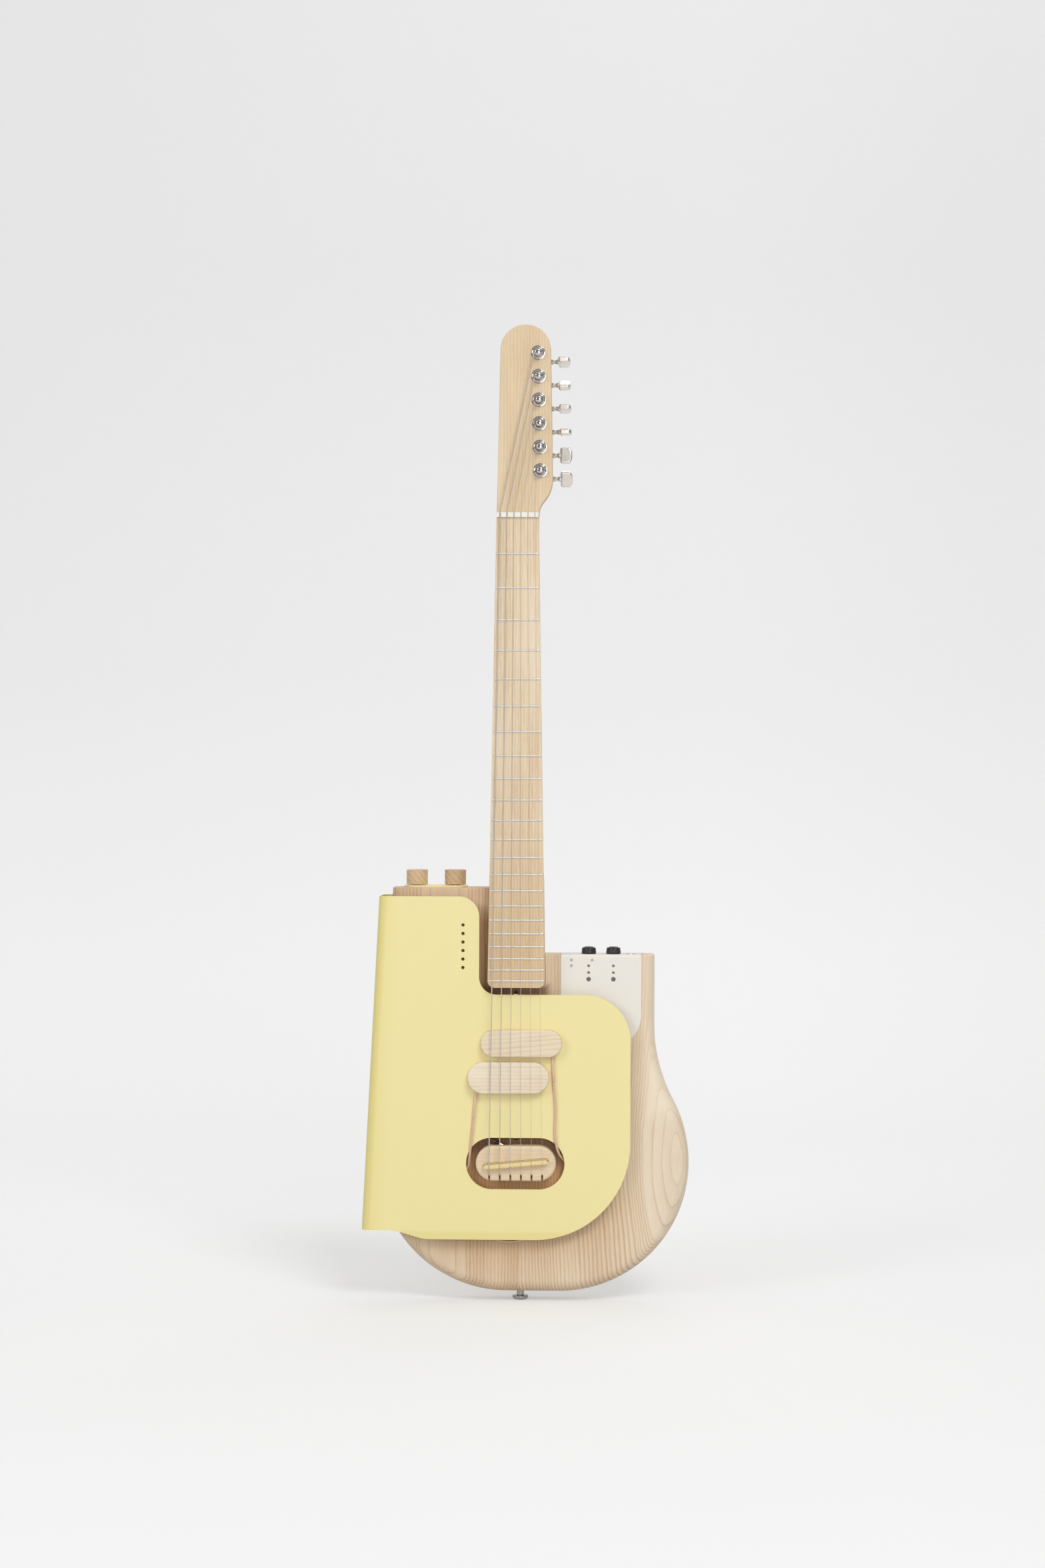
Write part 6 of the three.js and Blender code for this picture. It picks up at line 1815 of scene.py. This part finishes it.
def end_pin_solid():
    under = end_pin.disc_radius - end_pin.rim
    screw_top = BODY_BOTTOM + end_pin.screw_length
    return turned([
        (0, 0), (under, 0, 0.6), (end_pin.disc_radius - end_pin.rim / 3, end_pin.rim / 3, 1.2),
        (end_pin.disc_radius, end_pin.rim, 0.8), (end_pin.disc_radius, end_pin.disc_height, 0.5),
        (end_pin.stem_radius, end_pin.disc_height, 0.6), (end_pin.stem_radius, BODY_BOTTOM),
        (end_pin.screw_radius, BODY_BOTTOM), (end_pin.screw_radius, screw_top, 0.8), (0, screw_top),
    ], "z", (0, 0, 0), 64)


piece("end_pin_steel", end_pin_solid(), steel, replaces=("end_pin",))

# Solids that keep their own shape get a finished surface


def give_material(node, material):
    for slot_entry in node.material_slots:
        slot_entry.material = material


for name, material in (("control_pots", steel), ("circuit_board", board_green)):
    give_material(nodes[name], material)

# The replaced solids too, so that nothing keeps a flat colour

HIDDEN_FINISHES = {
    "body": ash_left, "neck": neck_maple, "fretboard": board_maple, "nut": ivory, "string": nickel,
    "tuner": chrome, "tailpiece": pale_maple, "saddle": brass, "bent": yellow, "pickup": black_plastic,
    "volume": knob_maple, "tone": knob_maple, "knob": yellow, "control_panel": white,
    "left": black_plastic, "right": black_plastic, "output": steel, "end": steel, "bridge": pale_maple,
}
for prefix, material in HIDDEN_FINISHES.items():
    for name, node in nodes.items():
        if name.startswith(prefix):
            give_material(node, material)

# Floor, backdrop and light

FLOOR = Sizes(half_width=6.0, near=-6.0, bend_start=1.4, bend=1.6, height=5.0)
FLOOR_GREY = (212, 212, 212)
BEND_FACETS = 24
# How bright the stage looks to the camera along its sweep, from in front to the top of the wall; its rise
# and fall are painted light and shade
SWEEP = Sizes(start=-1.5, end=5.0, right_start=300, right_end=850, right_share=0.92)
GLOW = [(-1.5, 0.27), (-0.6, 0.28), (-0.1, 0.3), (0.5, 0.335), (1.4, 0.355), (2.4, 0.345), (3.5, 0.3),
        (4.8, 0.31)]
# Lamps: where each stands, what it aims at, how wide and how strong it is
LAMPS = {
    "key": ((1.7, -3.9, 4.2), (0, 0, 0.5), 2.0, 115),
    "left": ((-3.2, -3.4, 2.0), (0, 0, 0.4), 2.0, 48),
    "front": ((1.0, -4.8, 1.0), (0, 0, 0.4), 1.6, 37),
    "back": ((0.6, 2.5, 3.2), (0, 0, 0.5), 2.8, 24),
}
SKY = [(-1.0, 0.32), (-0.1, 0.15), (0.12, 0.19), (0.5, 0.47), (1.0, 0.56)]


def studio():
    angles = [QUARTER * k / BEND_FACETS for k in range(BEND_FACETS + 1)]
    bend = [(FLOOR.bend_start + FLOOR.bend * math.sin(t), FLOOR.bend * (1 - math.cos(t)))
            for t in angles]
    line = [(FLOOR.near, 0.0), *bend, (FLOOR.bend_start + FLOOR.bend, FLOOR.height)]
    points = [(x, y, z) for y, z in line for x in (-FLOOR.half_width, FLOOR.half_width)]
    faces = [(2 * k, 2 * k + 1, 2 * k + 3, 2 * k + 2) for k in range(len(line) - 1)]
    mesh = bpy.data.meshes.new("studio")
    mesh.from_pydata(points, [], faces)
    for polygon in mesh.polygons:
        polygon.use_smooth = True
    thing = new_object(mesh, "studio")
    return thing


def studio_material():
    """Diffuse for the shadows, with a pale glow that only the camera, gloss and glass see."""
    paint = Paint("studio", 1.0)
    paint.paint(0.0, "Specular IOR Level")
    paint.paint(colour(FLOOR_GREY), "Base Color")
    rays = paint.add("LightPath")
    seen = paint.math("MAXIMUM", rays.outputs["Is Camera Ray"], rays.outputs["Is Glossy Ray"])
    seen = paint.math("MAXIMUM", seen, rays.outputs["Is Transmission Ray"])
    sweep = paint.math("MULTIPLY", paint.sum(paint.along("y"), paint.along("z")), MM)
    length = SWEEP.end - SWEEP.start
    stops = [((place - SWEEP.start) / length, glow) for place, glow in GLOW]
    share = paint.spread(sweep, 0.0, 1.0, SWEEP.start, SWEEP.end)
    paint.paint(paint.ramp(share, stops), "Emission Color")
    # Painted shade: the glow dims a little towards the right
    painted_dim_right = paint.spread(paint.along("x"), 1.0, SWEEP.right_share, SWEEP.right_start, SWEEP.right_end)
    paint.paint(paint.math("MULTIPLY", seen, painted_dim_right), "Emission Strength")
    return paint.material


studio().data.materials.append(studio_material())


def lamp(name, place, aim, size, power):
    data = bpy.data.lights.new(name, "AREA")
    data.size = size
    data.energy = power
    thing = new_object(data, name)
    direction = Vector(aim) - Vector(place)
    thing.rotation_mode = "QUATERNION"
    thing.rotation_quaternion = direction.to_track_quat("-Z", "Y")
    thing.location = place


def sky():
    """Even from all round, and darker low down than overhead."""
    world = bpy.data.worlds.new("world")
    bpy.context.scene.world = world
    world.use_nodes = True
    air = Nodes(world.node_tree)
    upward = air.along("z", air.add("TexCoord").outputs["Generated"])
    share = air.spread(upward, 0.0, 1.0, -1.0, 1.0)
    shown = air.ramp(share, [((height + 1) / 2, level) for height, level in SKY])
    air.put(shown, air.tree.nodes["Background"].inputs["Color"])


for name, settings in LAMPS.items():
    lamp(name, *settings)
sky()

bpy.context.scene.view_settings.view_transform = "Standard"
